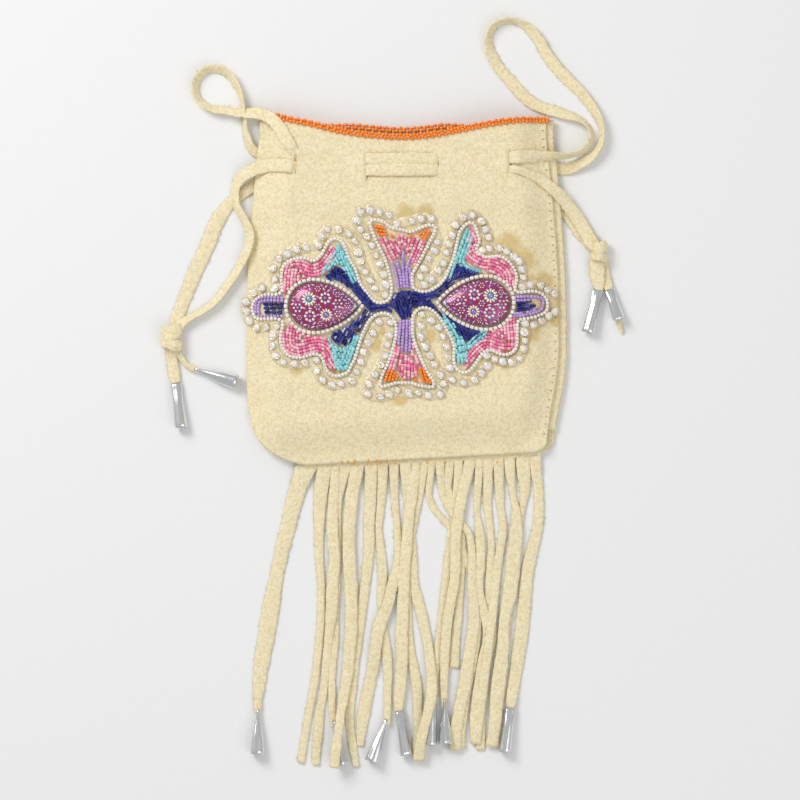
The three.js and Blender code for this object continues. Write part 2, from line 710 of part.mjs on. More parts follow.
// Beadwork: bands and fields of one height that follow the front
const frontRoom = sheetSolid(frontUnder, LEATHER + GAP / 3);
const beadLayer = sheetSolid((x, y) => frontTop(x, y) + GAP, BEAD_HEIGHT).subtract(frontRoom);
const stoneLayer = sheetSolid((x, y) => frontTop(x, y) + GAP, STONE_HEIGHT).subtract(frontRoom);

// A band of one width along a closed or open line
function band(line, width, closed) {
  const count = line.length;
  const sides = [1, -1].map((sign) =>
    line.map(([x, y], i) => {
      const before = line[closed ? (i + count - 1) % count : Math.max(0, i - 1)];
      const after = line[closed ? (i + 1) % count : Math.min(count - 1, i + 1)];
      const one = new THREE.Vector2(x - before[0], y - before[1]);
      const two = new THREE.Vector2(after[0] - x, after[1] - y);
      if (one.length() === 0) one.copy(two);
      if (two.length() === 0) two.copy(one);
      one.normalize();
      two.normalize();
      const along = one.clone().add(two).normalize();
      const reach = Math.min(1.6, 1 / Math.max(0.2, along.dot(one)));
      const out = (sign * reach * width) / 2;
      return new THREE.Vector2(x + along.y * out, y - along.x * out);
    }),
  );
  if (!closed) return prism([...sides[0], ...sides[1].reverse()]);
  const outerFirst = Math.abs(THREE.ShapeUtils.area(sides[0])) > Math.abs(THREE.ShapeUtils.area(sides[1]));
  const [outer, inner] = outerFirst ? sides : sides.slice().reverse();
  return prism(outer, -1, 40, [inner]);
}

// Row of pearls that outlines the whole flower, from the top leaf clockwise
const pearlLine = [
  [-2.2, 26.1], [10.9, 28], [12.6, 24.5], [9, 17.4], [4.8, 9.6], [3, 3.5], [7.4, -0.9], [14.4, 1.7],
  [19, 8.7], [22.6, 20.4], [25.4, 27.4], [28.3, 29.1], [31.3, 24.4], [30.9, 17.4], [36.1, 13.9],
  [43.1, 13.5], [47.9, 7.4], [47.4, 0], [57.9, -1.3], [61.3, -6.5], [57.4, -11.3], [49.2, -13.5],
  [48.5, -22.6], [44.4, -28.1], [36.8, -26.1], [31.6, -30.5], [27, -35.7], [21.8, -33.5],
  [20.4, -21.8], [16.1, -13.9], [8.7, -7.8], [3.5, -11.3], [3.3, -19.1], [7.8, -31.8], [12.2, -39.6],
  [9.1, -42.1], [-0.9, -40.5], [-10.9, -41.8], [-7.8, -33], [-3.9, -19.6], [-5.7, -11.7],
  [-12.2, -10.9], [-17.4, -17], [-21.8, -30], [-24.8, -35.7], [-31.3, -37.2], [-36.5, -28.7],
  [-46.5, -29.4], [-53.9, -22.2], [-53.1, -13.9], [-63.5, -12.6], [-66.1, -7.8], [-63.5, -3.7],
  [-53.1, -0.4], [-53.1, 8.7], [-47, 13.5], [-39.3, 12.4], [-31.8, 21.8], [-26.5, 19.6],
  [-21.8, 9.1], [-16.1, -1.7], [-9.6, -5.7], [-5.8, -0.9], [-7.4, 9.1], [-12.6, 21.3],
  [-15.2, 28.7], [-9.1, 29.4],
];

// Row of set stones that follows the pearls outside
const stoneLine = [
  [-3.7, 28.5], [3, 29.8], [11.3, 30.9], [15.5, 26.5], [12.6, 17], [8.3, 9.1], [6.5, 5.7], [8.3, 2.2],
  [11.3, 4.3], [15.5, 11], [18.9, 19.8], [21.8, 27.8], [26, 33], [33.1, 29.6], [36.1, 22.6],
  [34.4, 18], [41, 17.8], [47, 14.4], [50.5, 8.7], [50.7, 2.6], [57.5, 1.7], [62.2, -1], [65.2, -6],
  [62.4, -11.3], [56.5, -14.6], [52.4, -17], [51.8, -24], [49.6, -29.8], [43.6, -31.8], [38.4, -30.4],
  [36, -33], [33, -37.4], [25.4, -40.7], [20.4, -39], [18.7, -29.5], [16.6, -20.4], [11.4, -13.6],
  [7.4, -12], [7, -19.4], [10.8, -29], [15.6, -38.6], [15.4, -45], [9.8, -46.1], [-2.8, -43.8],
  [-10.9, -46.5], [-16.4, -45.6], [-15, -37.6], [-9.2, -29], [-7.2, -20.6], [-7, -15], [-11.4, -14.1],
  [-15.6, -21.4], [-19.2, -31.4], [-22.6, -39.2], [-31.8, -41.3], [-38, -35.8], [-40, -32.4],
  [-47.6, -32], [-55.6, -28.8], [-57.2, -20], [-56, -16], [-63.8, -16.6], [-67.4, -13.2],
  [-68.9, -6], [-66.4, -1.2], [-61.4, 0.9], [-56.4, 1.4], [-56.8, 9.1], [-51.2, 15.6], [-43, 18],
  [-37.4, 19.4], [-33.7, 26.1], [-24.4, 24.2], [-20.2, 16.2], [-17.4, 8], [-13.4, 0.6], [-9.4, 0],
  [-9.4, 6.6], [-12.6, 14.8], [-16.4, 23], [-20.4, 29], [-19, 33.4], [-15.2, 34.5], [-7, 32.2],
];

// Outline of a cabochon, pointed at one end, grown outwards all round
function teardrop([x, y], pointsRight, grow, count = 28) {
  const length = CABOCHON_LENGTH / 2 + grow;
  const width = CABOCHON_WIDTH / 2 + grow;
  const shape = (turn) => Math.sin(turn) * Math.pow(Math.sin(turn / 2), 0.7);
  const turns = steps(0, 2 * Math.PI, count).slice(0, count);
  const widest = Math.max(...turns.map(shape));
  const facing = pointsRight ? 1 : -1;
  return turns.map((turn) => [x + facing * length * Math.cos(turn), y + (width * shape(turn)) / widest]);
}

function cabochonGeometry(centre, pointsRight) {
  const profile = points2([[0, 0], [1, 0], [1, 0.3], [0.93, 0.6], [0.72, 0.85], [0.4, 0.97], [0, 1]]);
  const count = 28;
  const geometry = new THREE.LatheGeometry(profile, count);
  const rim = teardrop([0, 0], pointsRight, 0, count);
  const place = geometry.attributes.position;
  const base = frontTop(...centre) + GAP;
  for (let i = 0; i < place.count; i++) {
    const reach = Math.hypot(place.getX(i), place.getZ(i));
    const column = Math.floor(i / profile.length) % count;
    const [x, y] = rim[column];
    place.setXYZ(i, centre[0] + x * reach, centre[1] + y * reach, base + place.getY(i) * CABOCHON_HEIGHT);
  }
  const solid = solidFrom(geometry);
  return solid.volume() > 0 ? geometryFrom(solid) : geometryFrom(solidFrom(turnedInsideOut(geometry)));
}

function turnedInsideOut(geometry) {
  const index = geometry.index.array;
  for (let i = 0; i < index.length; i += 3) [index[i + 1], index[i + 2]] = [index[i + 2], index[i + 1]];
  return geometry;
}

addPiece("cabochon_left", cabochonGeometry(CABOCHON_LEFT, true), magenta);
addPiece("cabochon_right", cabochonGeometry(CABOCHON_RIGHT, false), magenta);

function ringOfPearls(centre, pointsRight) {
  const outer = points2(teardrop(centre, pointsRight, GAP + PEARL_WIDTH));
  const inner = points2(teardrop(centre, pointsRight, GAP));
  return prism(outer, -1, 40, [inner]).intersect(beadLayer);
}

addPiece("pearl_ring_left", geometryFrom(ringOfPearls(CABOCHON_LEFT, true)), pearl);
addPiece("pearl_ring_right", geometryFrom(ringOfPearls(CABOCHON_RIGHT, false)), pearl);

const pearlBand = band(pearlLine, PEARL_WIDTH, true);
const pearlRoom = band(pearlLine, PEARL_WIDTH + 2 * GAP, true);
const ringRoom = prism(points2(teardrop(CABOCHON_LEFT, true, 2 * GAP + PEARL_WIDTH))).add(
  prism(points2(teardrop(CABOCHON_RIGHT, false, 2 * GAP + PEARL_WIDTH))),
);
addPiece("pearl_outline", geometryFrom(pearlBand.intersect(beadLayer)), pearl);
const stoneBand = band(stoneLine, STONE_WIDTH, true);
addPiece("rhinestone_border", geometryFrom(stoneBand.intersect(stoneLayer).subtract(pearlRoom)), crystal);

// Fields of beads inside the pearls. Each colour keeps clear of the ones laid before it.
let taken = pearlRoom.add(ringRoom);

function field(name, outline, material) {
  const whole = prism(points2(outline));
  const rim = band(outline, 2 * GAP, true);
  addPiece(name, geometryFrom(whole.intersect(beadLayer).subtract(taken)), material);
  taken = taken.add(whole).add(rim);
}

const navyLines = [
  {
    line: [[-1, -6.2], [-9.8, -8.2], [-14.6, -7.6], [-19.6, -0.6], [-24.6, 6.6], [-32.6, 7.8]],
    width: 2.4,
  },
  { line: [[-9.8, -8.2], [-14.6, -8.4], [-20.4, -15.6], [-25.6, -21.4], [-32.4, -21.4]], width: 2.2 },
  { line: [[-1, -5.6], [6, -4.2], [11.2, -3.2], [17.6, 3.2], [22.4, 9], [31, 8.4]], width: 2.2 },
  {
    line: [[-1, -6.6], [6, -5.4], [11, -6.6], [15.4, -10.2], [20.6, -15], [25.8, -20.6], [32, -20.2]],
    width: 1.6,
  },
];
const navyKnot = [[-4.4, -11], [2.2, -11], [2.2, -1.2], [-4.4, -1.2]];
const navySolids = (extra) => [
  prism(points2(navyKnot.map(([x, y]) => [x + Math.sign(x + 1) * extra, y + Math.sign(y + 6) * extra]))),
  ...navyLines.map(({ line, width }) => band(line, width + 2 * extra, false)),
];
addPiece("navy_stems", geometryFrom(joined(navySolids(0)).intersect(beadLayer).subtract(taken)), navy);
taken = joined([taken, ...navySolids(GAP)]);

field("navy_left_tip", [[-61, -8.6], [-54, -8.6], [-54, -5], [-61, -5]], navy);
field("navy_right_tip", [[48, -8.6], [56.5, -7.4], [56.5, -5], [48, -4.8]], navy);
field(
  "turquoise_upper_left",
  [[-28.2, 19.4], [-36.4, 5.8], [-34, 5.6], [-28.6, 10.4], [-23.6, 8.6], [-21.2, 5.6], [-22, 9]],
  turquoise,
);
field(
  "turquoise_upper_right",
  [[27, 27], [20.6, 9], [24, 11.4], [32, 9.4], [33.4, 10.8], [27.6, 14], [29, 21.4]],
  turquoise,
);
field(
  "turquoise_lower_left",
  [[-33.8, -22.8], [-26.4, -23.4], [-21, -19.6], [-26.8, -35.4], [-29.6, -33]],
  turquoise,
);
field(
  "turquoise_lower_right",
  [[19.8, -17], [24.6, -22], [32.4, -21.6], [29.4, -25.4], [24, -32.8], [22.4, -27]],
  turquoise,
);
field("lavender_upper_stem", [[-3.6, -0.4], [1.4, -0.4], [2.2, 13], [-5, 13]], lavender);
field("lavender_lower_stem", [[-2.4, -11.6], [1.4, -11.6], [1.4, -24.6], [-2.6, -24.6]], lavender);
field(
  "lavender_left_tip",
  [[-62.8, -11.6], [-53.4, -12.6], [-53.4, -1.6], [-62.8, -4.6], [-64.6, -8]],
  lavender,
);
field("lavender_right_tip", [[47, -12.6], [58, -11], [60, -6], [57.6, -1.4], [47, -1]], lavender);
field("orange_upper_left", [[-14.2, 28.6], [-8, 28.6], [-8.6, 22.6], [-12.2, 22.6]], orange);
field("orange_upper_right", [[6, 21.6], [11.8, 21.6], [11.8, 27], [6.6, 27]], orange);
field("orange_lower_left", [[-9.8, -41], [-3.4, -39.6], [-3.8, -35.2], [-7.4, -35.2]], orange);
field("orange_lower_right", [[5.4, -35.2], [9, -35.2], [11.6, -40], [9, -41.4], [5, -40.4]], orange);
field("pink_upper_leaf", [[-12, 28], [-2.2, 25], [10, 27.4], [3, 10], [-7, 10]], pink);
field("pink_lower_leaf", [[-3.6, -22], [2.8, -22], [9.4, -41], [-0.9, -39.6], [-9, -41]], pink);
field(
  "pink_upper_left",
  [[-52, -1], [-52, 9], [-46.6, 12.4], [-38.6, 11.2], [-31, 20.6], [-29, 17], [-37, 4.6]],
  pink,
);
field(
  "pink_upper_right",
  [
    [28.4, 28], [31, 24], [30.4, 17.6], [36, 12.8], [42.6, 12.4],
    [46.8, 7], [46.8, 0], [34, 7], [28.2, 14.6], [29.4, 21.4],
  ],
  pink,
);
field(
  "pink_lower_left",
  [[-52, -14], [-53, -22], [-46, -28.2], [-36, -27.6], [-31, -36], [-28, -34], [-36, -18]],
  pink,
);
field(
  "pink_lower_right",
  [[48, -13.6], [47.4, -22.6], [44, -27], [36.6, -25], [26, -34.6], [30, -22], [40, -15]],
  pink,
);

export default bag;
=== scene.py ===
"""The looks of a beaded medicine bag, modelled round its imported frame.

The bag lies on its back with the mouth towards +Y. Places read off the photograph are kept in
its pixels, in names that end in _PX, and turned into millimetres by spot(). Every mesh is built
in millimetres and scaled to metres once, when its object is made.
"""

import math
import random

import bmesh
import bpy
from bpy.props import FloatProperty, FloatVectorProperty, PointerProperty
from mathutils import Matrix, Vector, noise


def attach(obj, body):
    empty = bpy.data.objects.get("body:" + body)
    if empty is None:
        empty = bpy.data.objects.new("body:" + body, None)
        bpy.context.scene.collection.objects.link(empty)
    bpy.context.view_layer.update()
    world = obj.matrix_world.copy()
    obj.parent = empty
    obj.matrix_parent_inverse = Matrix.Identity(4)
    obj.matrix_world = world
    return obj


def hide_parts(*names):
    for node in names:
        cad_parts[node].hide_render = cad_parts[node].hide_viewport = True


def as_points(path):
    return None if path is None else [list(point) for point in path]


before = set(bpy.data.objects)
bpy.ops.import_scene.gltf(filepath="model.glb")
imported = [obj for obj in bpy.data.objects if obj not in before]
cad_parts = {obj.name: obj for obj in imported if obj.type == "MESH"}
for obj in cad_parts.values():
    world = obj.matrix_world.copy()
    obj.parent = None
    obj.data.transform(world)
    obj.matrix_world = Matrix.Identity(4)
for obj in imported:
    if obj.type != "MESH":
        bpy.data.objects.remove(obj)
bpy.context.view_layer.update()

bl_info = {
    "name": "Beaded medicine bag",
    "version": (1, 0, 0),
    "blender": (4, 5, 0),
    "location": "3D View > Sidebar > Bag",
    "description": "Models a beaded suede drawstring bag round its packed frame",
    "category": "Object"}

MM = 0.001
BODY = "root"
MM_PER_PX = 0.435
ORIGIN_PX = (405, 290)

# Body of the bag, as the CAD model has it
GAP = 0.3
LEATHER = 1.2
THONG_LAID = 1.0
BODY_MIDDLE_X = 1.0
BELLY_HALF_WIDTH = 69.3
MOUTH_HALF_WIDTH = 63.6
TAPER_LENGTH = 80.0
MOUTH_LOW = (-2.0, 66.0)
MOUTH_RISE_LEFT = 9.7
MOUTH_RISE_RIGHT = 7.5
MOUTH_RISE_RUN = 57.0
# How far the front's edge dips, how far the back shows behind it, and the x where each comes and goes
MOUTH_DIP = 1.7
MOUTH_DIP_SPAN = (-60, -48, -32, -8)
BACK_SHOWS = 3.25
BACK_SHOWS_SPAN = (-40, -20, 14, 32)
BOTTOM_LEFT_Y = -75.6
BOTTOM_SLOPE = 0.055
CORNER_LEFT = 24.0
CORNER_RIGHT = 7.0
CORNER_RIGHT_RISE = 4.0
DRAWN_IN_RIGHT = 5.6
DRAWN_IN_FROM = 25.0
DRAWN_IN_TO = 72.0
PUFF = 5.2
PUFF_AT_FOLD = 1.5
PUFF_MARGIN_SIDE = 15.0
PUFF_MARGIN_BOTTOM = 20.0
WELT_SHOW = 3.4
WELT_WIDTH = 9.0
WELT_POINTS = 60
WELT_FROM_Y = -60.9
WELT_TO_Y = 73.9
WELT_STITCHES = 38
WELT_STITCH_FROM_Y = -62
WELT_STITCH_PITCH = 3.55
BAND_LOW_Y = 26.0
BAND_HIGH_Y = 40.0
LANE_HIGH = 56.6
LANE_LOW = 51.8

# Slits in each panel: x, lowest y, highest y, and whether the left lip lies over the thong
SLITS = [
    (-47.4, 50.0, 60.9, False), (-16.4, 46.6, 59.4, True), (13.9, 49.4, 59.4, False),
    (45.7, 50.0, 60.7, True)]
SLIT_GAPE = 2.5
LIP_UP = 0.75
LIP_DOWN = 0.35
LIP_REACH = 4.5

# Metal cones
CONE_MOUTH_RADIUS = 2.9
CONE_TIP_RADIUS = 1.9
CONE_SHEET = 0.35
CONE_LAP = 0.5

# Camera
CAMERA_PX = (400, 400)
CAMERA_HEIGHT = 2.2
VIEW_WIDTH = 0.348
SENSOR_WIDTH = 36.0
FLOOR_HALF = 2.5
AIR_STRENGTH = 0.5
# Lights: name, place from the middle of the view and size, in metres, and watts
LIGHTS = [("window_light", (-0.75, 0.75, 0.95), 0.6, 10.5), ("fill_light", (0.7, -0.6, 1.1), 1.2, 5.0)]


def length(name, description, millimetres):
    return FloatProperty(name=name, description=description, default=millimetres * MM, subtype="DISTANCE")


class BagSizes(bpy.types.PropertyGroup):
    """Sizes that a user would change."""

    leather: length("Leather", "Thickness of the suede", LEATHER)
    thong_width: length("Thong width", "Width of a drawstring", 5.2)
    thong_thickness: length("Thong thickness", "Thickness of a drawstring", 1.1)
    seed_width: length("Seed bead width", "Width of a round seed bead", 1.5)
    seed_length: length("Seed bead length", "Length of a seed bead along its hole", 1.36)
    edging_bead: length("Edging bead", "Width of a bead of the mouth edging", 1.6)
    bugle_length: length("Bugle length", "Length of a bugle bead", 2.7)
    bugle_width: length("Bugle width", "Width of a bugle bead", 1.42)


def colour(name, description, value):
    return FloatVectorProperty(
        name=name, description=description, subtype="COLOR", size=3, min=0, max=1, default=value)


class BagColours(bpy.types.PropertyGroup):
    """Colours that a user would change."""

    suede: colour("Suede", "Nap of the suede", (0.97, 0.865, 0.6))
    stain: colour("Stain", "Where the suede has darkened under the stones", (0.66, 0.46, 0.16))
    orange: colour("Orange", "Opaque beads of the edging and the leaf tips", (1.0, 0.25, 0.014))
    pearl: colour("Pearl", "Beads of the outline", (0.93, 0.88, 0.77))
    navy: colour("Navy", "Bugles of the stems", (0.003, 0.004, 0.13))
    turquoise: colour("Turquoise", "Silky bugles", (0.17, 0.52, 0.58))
    pink: colour("Pink", "Lined beads", (0.93, 0.16, 0.33))
    lavender: colour("Lavender", "Satin beads", (0.46, 0.27, 0.62))
    metal: colour("Metal", "Rolled sheet of the cones", (0.82, 0.83, 0.84))
    magenta: colour("Magenta", "Ground of the cabochons", (0.33, 0.006, 0.085))
    floor: colour("Floor", "What the bag lies on", (0.86, 0.86, 0.86))


def sizes():
    return bpy.context.scene.bag_sizes


def colours():
    return bpy.context.scene.bag_colours


# Places and heights, in millimetres


def spot(pixel):
    """A pixel of the photograph as x and y on the bag."""
    return ((pixel[0] - ORIGIN_PX[0]) * MM_PER_PX, (ORIGIN_PX[1] - pixel[1]) * MM_PER_PX)


def spots(pixels):
    return [spot(p) for p in pixels]


def ramp(value, low, high):
    share = min(1.0, max(0.0, (value - low) / (high - low)))
    return share * share * (3 - 2 * share)


def half_width(y):
    share = min(1.0, max(0.0, (MOUTH_LOW[1] - y) / TAPER_LENGTH))
    return MOUTH_HALF_WIDTH + (BELLY_HALF_WIDTH - MOUTH_HALF_WIDTH) * math.sin(math.pi / 2 * share)


def left_edge(y):
    return BODY_MIDDLE_X - half_width(y)


def right_edge(y):
    """The right edge, which draws in towards the bottom."""
    return BODY_MIDDLE_X + half_width(y) - DRAWN_IN_RIGHT * ramp(-y, DRAWN_IN_FROM, DRAWN_IN_TO)


def bottom_edge(x):
    return BOTTOM_LEFT_Y + BOTTOM_SLOPE * (x - BODY_MIDDLE_X + BELLY_HALF_WIDTH / 2)


def mouth_edge(x):
    rise = MOUTH_RISE_LEFT if x < MOUTH_LOW[0] else MOUTH_RISE_RIGHT
    run = min(1.0, abs(x - MOUTH_LOW[0]) / MOUTH_RISE_RUN)
    return MOUTH_LOW[1] + rise * (1 - math.cos(math.pi * run)) / 2


def swell(x, rise_from, rise_to, fall_from, fall_to):
    return ramp(x, rise_from, rise_to) * (1 - ramp(x, fall_from, fall_to))


def mouth_lies(x, front):
    """The edge of the mouth as it lies: dipping on the left, with the back showing in the middle."""
    behind = 0 if front else BACK_SHOWS * swell(x, *BACK_SHOWS_SPAN)
    return mouth_edge(x) - MOUTH_DIP * swell(x, *MOUTH_DIP_SPAN) + behind


def back_under(y):
    return (THONG_LAID + GAP) * ramp(y, BAND_LOW_Y, BAND_HIGH_Y)


def back_top(y):
    return back_under(y) + LEATHER


def ripple(x, y):
    """Small unevenness of soft leather: broad waves and finer ones."""
    broad = noise.noise(Vector((x / 21, y / 17, 3.1)))
    fine = noise.noise(Vector((x / 6, y / 6, 9.4)))
    return 0.22 * broad + 0.07 * fine


def lip(x, y):
    """How far the lips of the slits are pushed up or down by the thongs."""
    pushed = 0.0
    for slit_x, low, high, left_over in SLITS:
        along = ramp(y, low - 2, low + 1.5) * (1 - ramp(y, high - 1.5, high + 2))
        side = -1 if x < slit_x else 1
        over = left_over == (side < 0)
        reach = math.exp(-(((x - slit_x) / LIP_REACH) ** 2))
        pushed += along * reach * (LIP_UP if over else -LIP_DOWN)
    return pushed


def front_under(x, y):
    from_left = ramp(x - left_edge(y), 0, PUFF_MARGIN_SIDE)
    from_right = ramp(right_edge(y) - WELT_SHOW - x, 0, PUFF_MARGIN_SIDE)
    from_bottom = ramp(y - bottom_edge(x), 1, PUFF_MARGIN_BOTTOM)
    inside = from_left * from_right * from_bottom
    return back_top(y) + GAP + PUFF_AT_FOLD * from_left + PUFF * inside + ripple(x, y) * inside


def front_top(x, y):
    return front_under(x, y) + LEATHER


def lies_on_front(x, y, height):
    """A point over the front, and the front's normal there."""
    step = 0.6
    z = front_top(x, y)
    slope_x = (front_top(x + step, y) - front_top(x - step, y)) / (2 * step)
    slope_y = (front_top(x, y + step) - front_top(x, y - step)) / (2 * step)
    normal = Vector((-slope_x, -slope_y, 1)).normalized()
    return Vector((x, y, z)) + normal * height, normal


# Shader nodes


class Wire:
    """One output of a shader node, with the arithmetic that adds Math nodes."""

    def __init__(self, paint, socket):
        self.paint = paint
        self.socket = socket

    def maths(self, operation, *inputs, clamp=False):
        settings = {"operation": operation, "use_clamp": clamp}
        return self.paint.node("ShaderNodeMath", settings, dict(enumerate(inputs)))

    def __add__(self, other):
        return self.maths("ADD", self, other)

    __radd__ = __add__

    def __sub__(self, other):
        return self.maths("SUBTRACT", self, other)

    def __rsub__(self, other):
        return self.maths("SUBTRACT", other, self)

    def __mul__(self, other):
        return self.maths("MULTIPLY", self, other)

    __rmul__ = __mul__

    def above(self, edge, soft):
        """0 below the edge and 1 above it, with a soft step between."""
        return self.maths("DIVIDE", self - (edge - soft), 2 * soft, clamp=True)


class Paint:
    """A material being made."""

    def __init__(self, name):
        self.material = bpy.data.materials.new(name)
        self.material.use_nodes = True
        self.tree = self.material.node_tree
        self.shader = self.tree.nodes["Principled BSDF"]

    def node(self, kind, settings=None, inputs=None, output=0):
        made = self.tree.nodes.new(kind)
        for key, value in (settings or {}).items():
            if key == "stops":
                self.set_stops(made, value)
            else:
                setattr(made, key, value)
        for key, value in (inputs or {}).items():
            self.feed(made.inputs[key], value)
        return Wire(self, made.outputs[output])

    def feed(self, socket, value):
        if isinstance(value, Wire):
            self.tree.links.new(value.socket, socket)
        elif hasattr(value, "__len__") and socket.type == "RGBA":
            socket.default_value = (*value[:3], 1)
        else:
            socket.default_value = value

    def set_stops(self, made, stops):
        elements = made.color_ramp.elements
        while len(elements) < len(stops):
            elements.new(0.5)
        for element, (place, shade) in zip(elements, stops):
            element.position = place
            element.color = (*shade[:3], 1)

    def place(self):
        return self.node("ShaderNodeTexCoord", output="Object")

    def noise(self, size_mm, detail=3, roughness=0.55, distortion=0.0):
        """Noise whose largest spots are about size_mm across."""
        inputs = {"Vector": self.place(), "Scale": 1 / (size_mm * MM), "Detail": detail}
        inputs.update({"Roughness": roughness, "Distortion": distortion})
        return self.node("ShaderNodeTexNoise", None, inputs)

    def each(self):
        """A number of its own for each loose piece of the mesh."""
        return self.node("ShaderNodeNewGeometry", output="Random Per Island")

    def attribute(self, name):
        return self.node("ShaderNodeAttribute", {"attribute_name": name}, output="Fac")

    def mix(self, factor, one, two):
        settings = {"data_type": "RGBA", "blend_type": "MIX"}
        return self.node("ShaderNodeMix", settings, {0: factor, 6: one, 7: two}, output=2)

    def shades(self, factor, stops):
        return self.node("ShaderNodeValToRGB", {"stops": stops}, {0: factor})

    def bump(self, height, distance_mm, strength=1.0, normal=None):
        inputs = {"Height": height, "Distance": distance_mm * MM, "Strength": strength}
        if normal is not None:
            inputs["Normal"] = normal
        return self.node("ShaderNodeBump", None, inputs)

    def finish(self, **inputs):
        for key, value in inputs.items():
            self.feed(self.shader.inputs[key.replace("_", " ").title().replace("Ior", "IOR")], value)
        return self.material


def scaled(shade, *factors):
    """A shade multiplied by one factor, or by one for each of its parts."""
    if len(factors) == 1:
        factors *= 3
    return tuple(min(1.0, c * factor) for c, factor in zip(shade, factors))


def suede_material(name, stained=False):
    """Napped suede: fine fibres, soft mottling, and darkening where the stones' glue came through."""
    paint = Paint(name)
    base = tuple(colours().suede)
    nap = paint.noise(1.3, 3, 0.75, 0.4)
    fine = paint.noise(0.5, 3, 0.7)
    mottle = paint.noise(7, 4, 0.6)
    brushed = paint.noise(3.4, 3, 0.6, 0.8)
    shade = paint.mix(mottle.above(0.5, 0.22), scaled(base, 0.95), scaled(base, 1.05))
    shade = paint.mix(brushed.above(0.52, 0.16) * 0.7, shade, scaled(base, 0.98, 0.93, 0.82))
    shade = paint.mix((1 - nap.above(0.47, 0.09)) * 0.6, shade, scaled(base, 0.72, 0.66, 0.54))
    shade = paint.mix((1 - fine.above(0.45, 0.14)) * 0.3, shade, scaled(base, 0.7))
    specks = 1 - paint.noise(0.9, 2, 0.5).above(0.27, 0.03)
    shade = paint.mix(specks * 0.5, shade, scaled(base, 0.75, 0.6, 0.4))
    if stained:
        stain = paint.attribute("stain") + (paint.noise(5, 4, 0.65) - 0.5) * 0.6
        shade = paint.mix(stain.above(0.5, 0.18) * 0.7, shade, tuple(colours().stain))
    fibres = nap * 0.6 + fine * 0.4
    normal = paint.bump(fibres, 0.55, 0.9, paint.bump(brushed, 0.4, 0.6))
    paint.finish(base_color=shade, roughness=0.96, normal=normal, specular_ior_level=0.15)
    paint.shader.inputs["Sheen Weight"].default_value = 0.12
    paint.shader.inputs["Sheen Roughness"].default_value = 0.6
    return paint.material


def bead_material(name, shade, lining=None, roughness=0.12, spread=0.25, silky=0.0, lined=0.55):
    """Glass beads, each a little lighter or darker than the next, with an optional lining, and on satin
    beads lighter streaks that are a painted sheen.
    """
    paint = Paint(name)
    each = paint.each()
    look = paint.mix(each, scaled(shade, 1 - spread), scaled(shade, 1 + spread))
    if lining is not None:
        shows = ((each * 7.31).maths("FRACT", each * 7.31)).above(0.55, 0.25)
        look = paint.mix(shows * lined, look, lining)
    # Satin beads: lighter streaks painted into the colour, a painted sheen.
    if silky:
        painted_sheen_streak = paint.noise(0.5, 3, 0.7, 1.5)
        look = paint.mix(painted_sheen_streak.above(0.52, 0.16) * silky, look, scaled(shade, 2.4))
    rough = roughness + paint.noise(0.8, 2) * 0.12
    normal = paint.bump(paint.noise(0.7, 2), 0.05, 0.4)
    return paint.finish(base_color=look, roughness=rough, normal=normal, coat_weight=0.5)


def pearl_material():
    """Lustre beads with a faint pink and green play from bead to bead."""
    paint = Paint("pearl_lustre")
    base = tuple(colours().pearl)
    play = [(0, scaled(base, 0.86)), (0.45, base), (0.75, (0.9, 0.78, 0.7)), (1, (0.8, 0.83, 0.74))]
    tint = paint.shades(paint.each(), play)
    normal = paint.bump(paint.noise(0.6, 2), 0.04, 0.4)
    paint.finish(base_color=tint, roughness=0.18 + paint.noise(0.9) * 0.14, normal=normal, coat_weight=0.7)
    return paint.material


def stone_material():
    """Clear cut stones whose shade follows the way each facet faces: painted reflections and glints, over
    an iridescent film's tints.
    """
    paint = Paint("cut_stone")
    normal = paint.node("ShaderNodeNewGeometry", output="True Normal")
    facing = paint.node("ShaderNodeSeparateXYZ", None, {0: normal})
    across = Wire(paint, facing.socket.node.outputs["Y"])
    turned = facing * 2.3 + across * 1.7 + paint.each() * 3.0
    play = turned.maths("FRACT", turned)
    # Facet shades: the film's tints, and light and dark ones that are painted reflections and glints on the
    # facets.
    film = [
        (0, (1, 0.97, 0.92)), (0.15, (0.9, 0.66, 0.76)), (0.3, (1, 0.94, 0.72)), (0.46, (0.56, 0.62, 0.86)),
        (0.6, (1, 0.98, 0.94)), (0.74, (0.55, 0.47, 0.38)), (0.88, (1, 0.84, 0.48)),
        (1, (0.76, 0.92, 0.86))]
    return paint.finish(base_color=paint.shades(play, film), roughness=0.08, coat_weight=1.0)


def metal_material(name):
    """Bright rolled sheet with fine scratches and dull patches."""
    paint = Paint(name)
    shade = tuple(colours().metal)
    dull = paint.noise(5, 4, 0.65).above(0.56, 0.16)
    scratches = paint.noise(0.6, 5, 0.8, 2.0).above(0.6, 0.08)
    look = paint.mix(dull * 0.22, shade, scaled(shade, 0.6, 0.58, 0.54))
    look = paint.mix(scratches * 0.15, look, scaled(shade, 0.78))
    normal = paint.bump(paint.noise(6, 2), 0.09, 0.5, paint.bump(scratches, 0.008, 0.4))
    rough = 0.17 + dull * 0.1 + scratches * 0.04
    return paint.finish(base_color=look, roughness=rough, metallic=1.0, normal=normal)


def cabochon_material():
    """Magenta resin with a violet film that comes and goes over it."""
    paint = Paint("cabochon_resin")
    base = tuple(colours().magenta)
    film = paint.noise(3.2, 3, 0.6, 1.2)
    look = paint.mix(film.above(0.54, 0.1) * 0.8, base, (0.3, 0.035, 0.2))
    look = paint.mix(paint.noise(1.1, 3).above(0.62, 0.06) * 0.7, look, (0.3, 0.14, 0.55))
    normal = paint.bump(paint.noise(0.9, 3), 0.22, 0.7)
    rough = 0.2 + film * 0.12
    return paint.finish(base_color=look, roughness=rough, metallic=0.25, normal=normal, coat_weight=0.8)


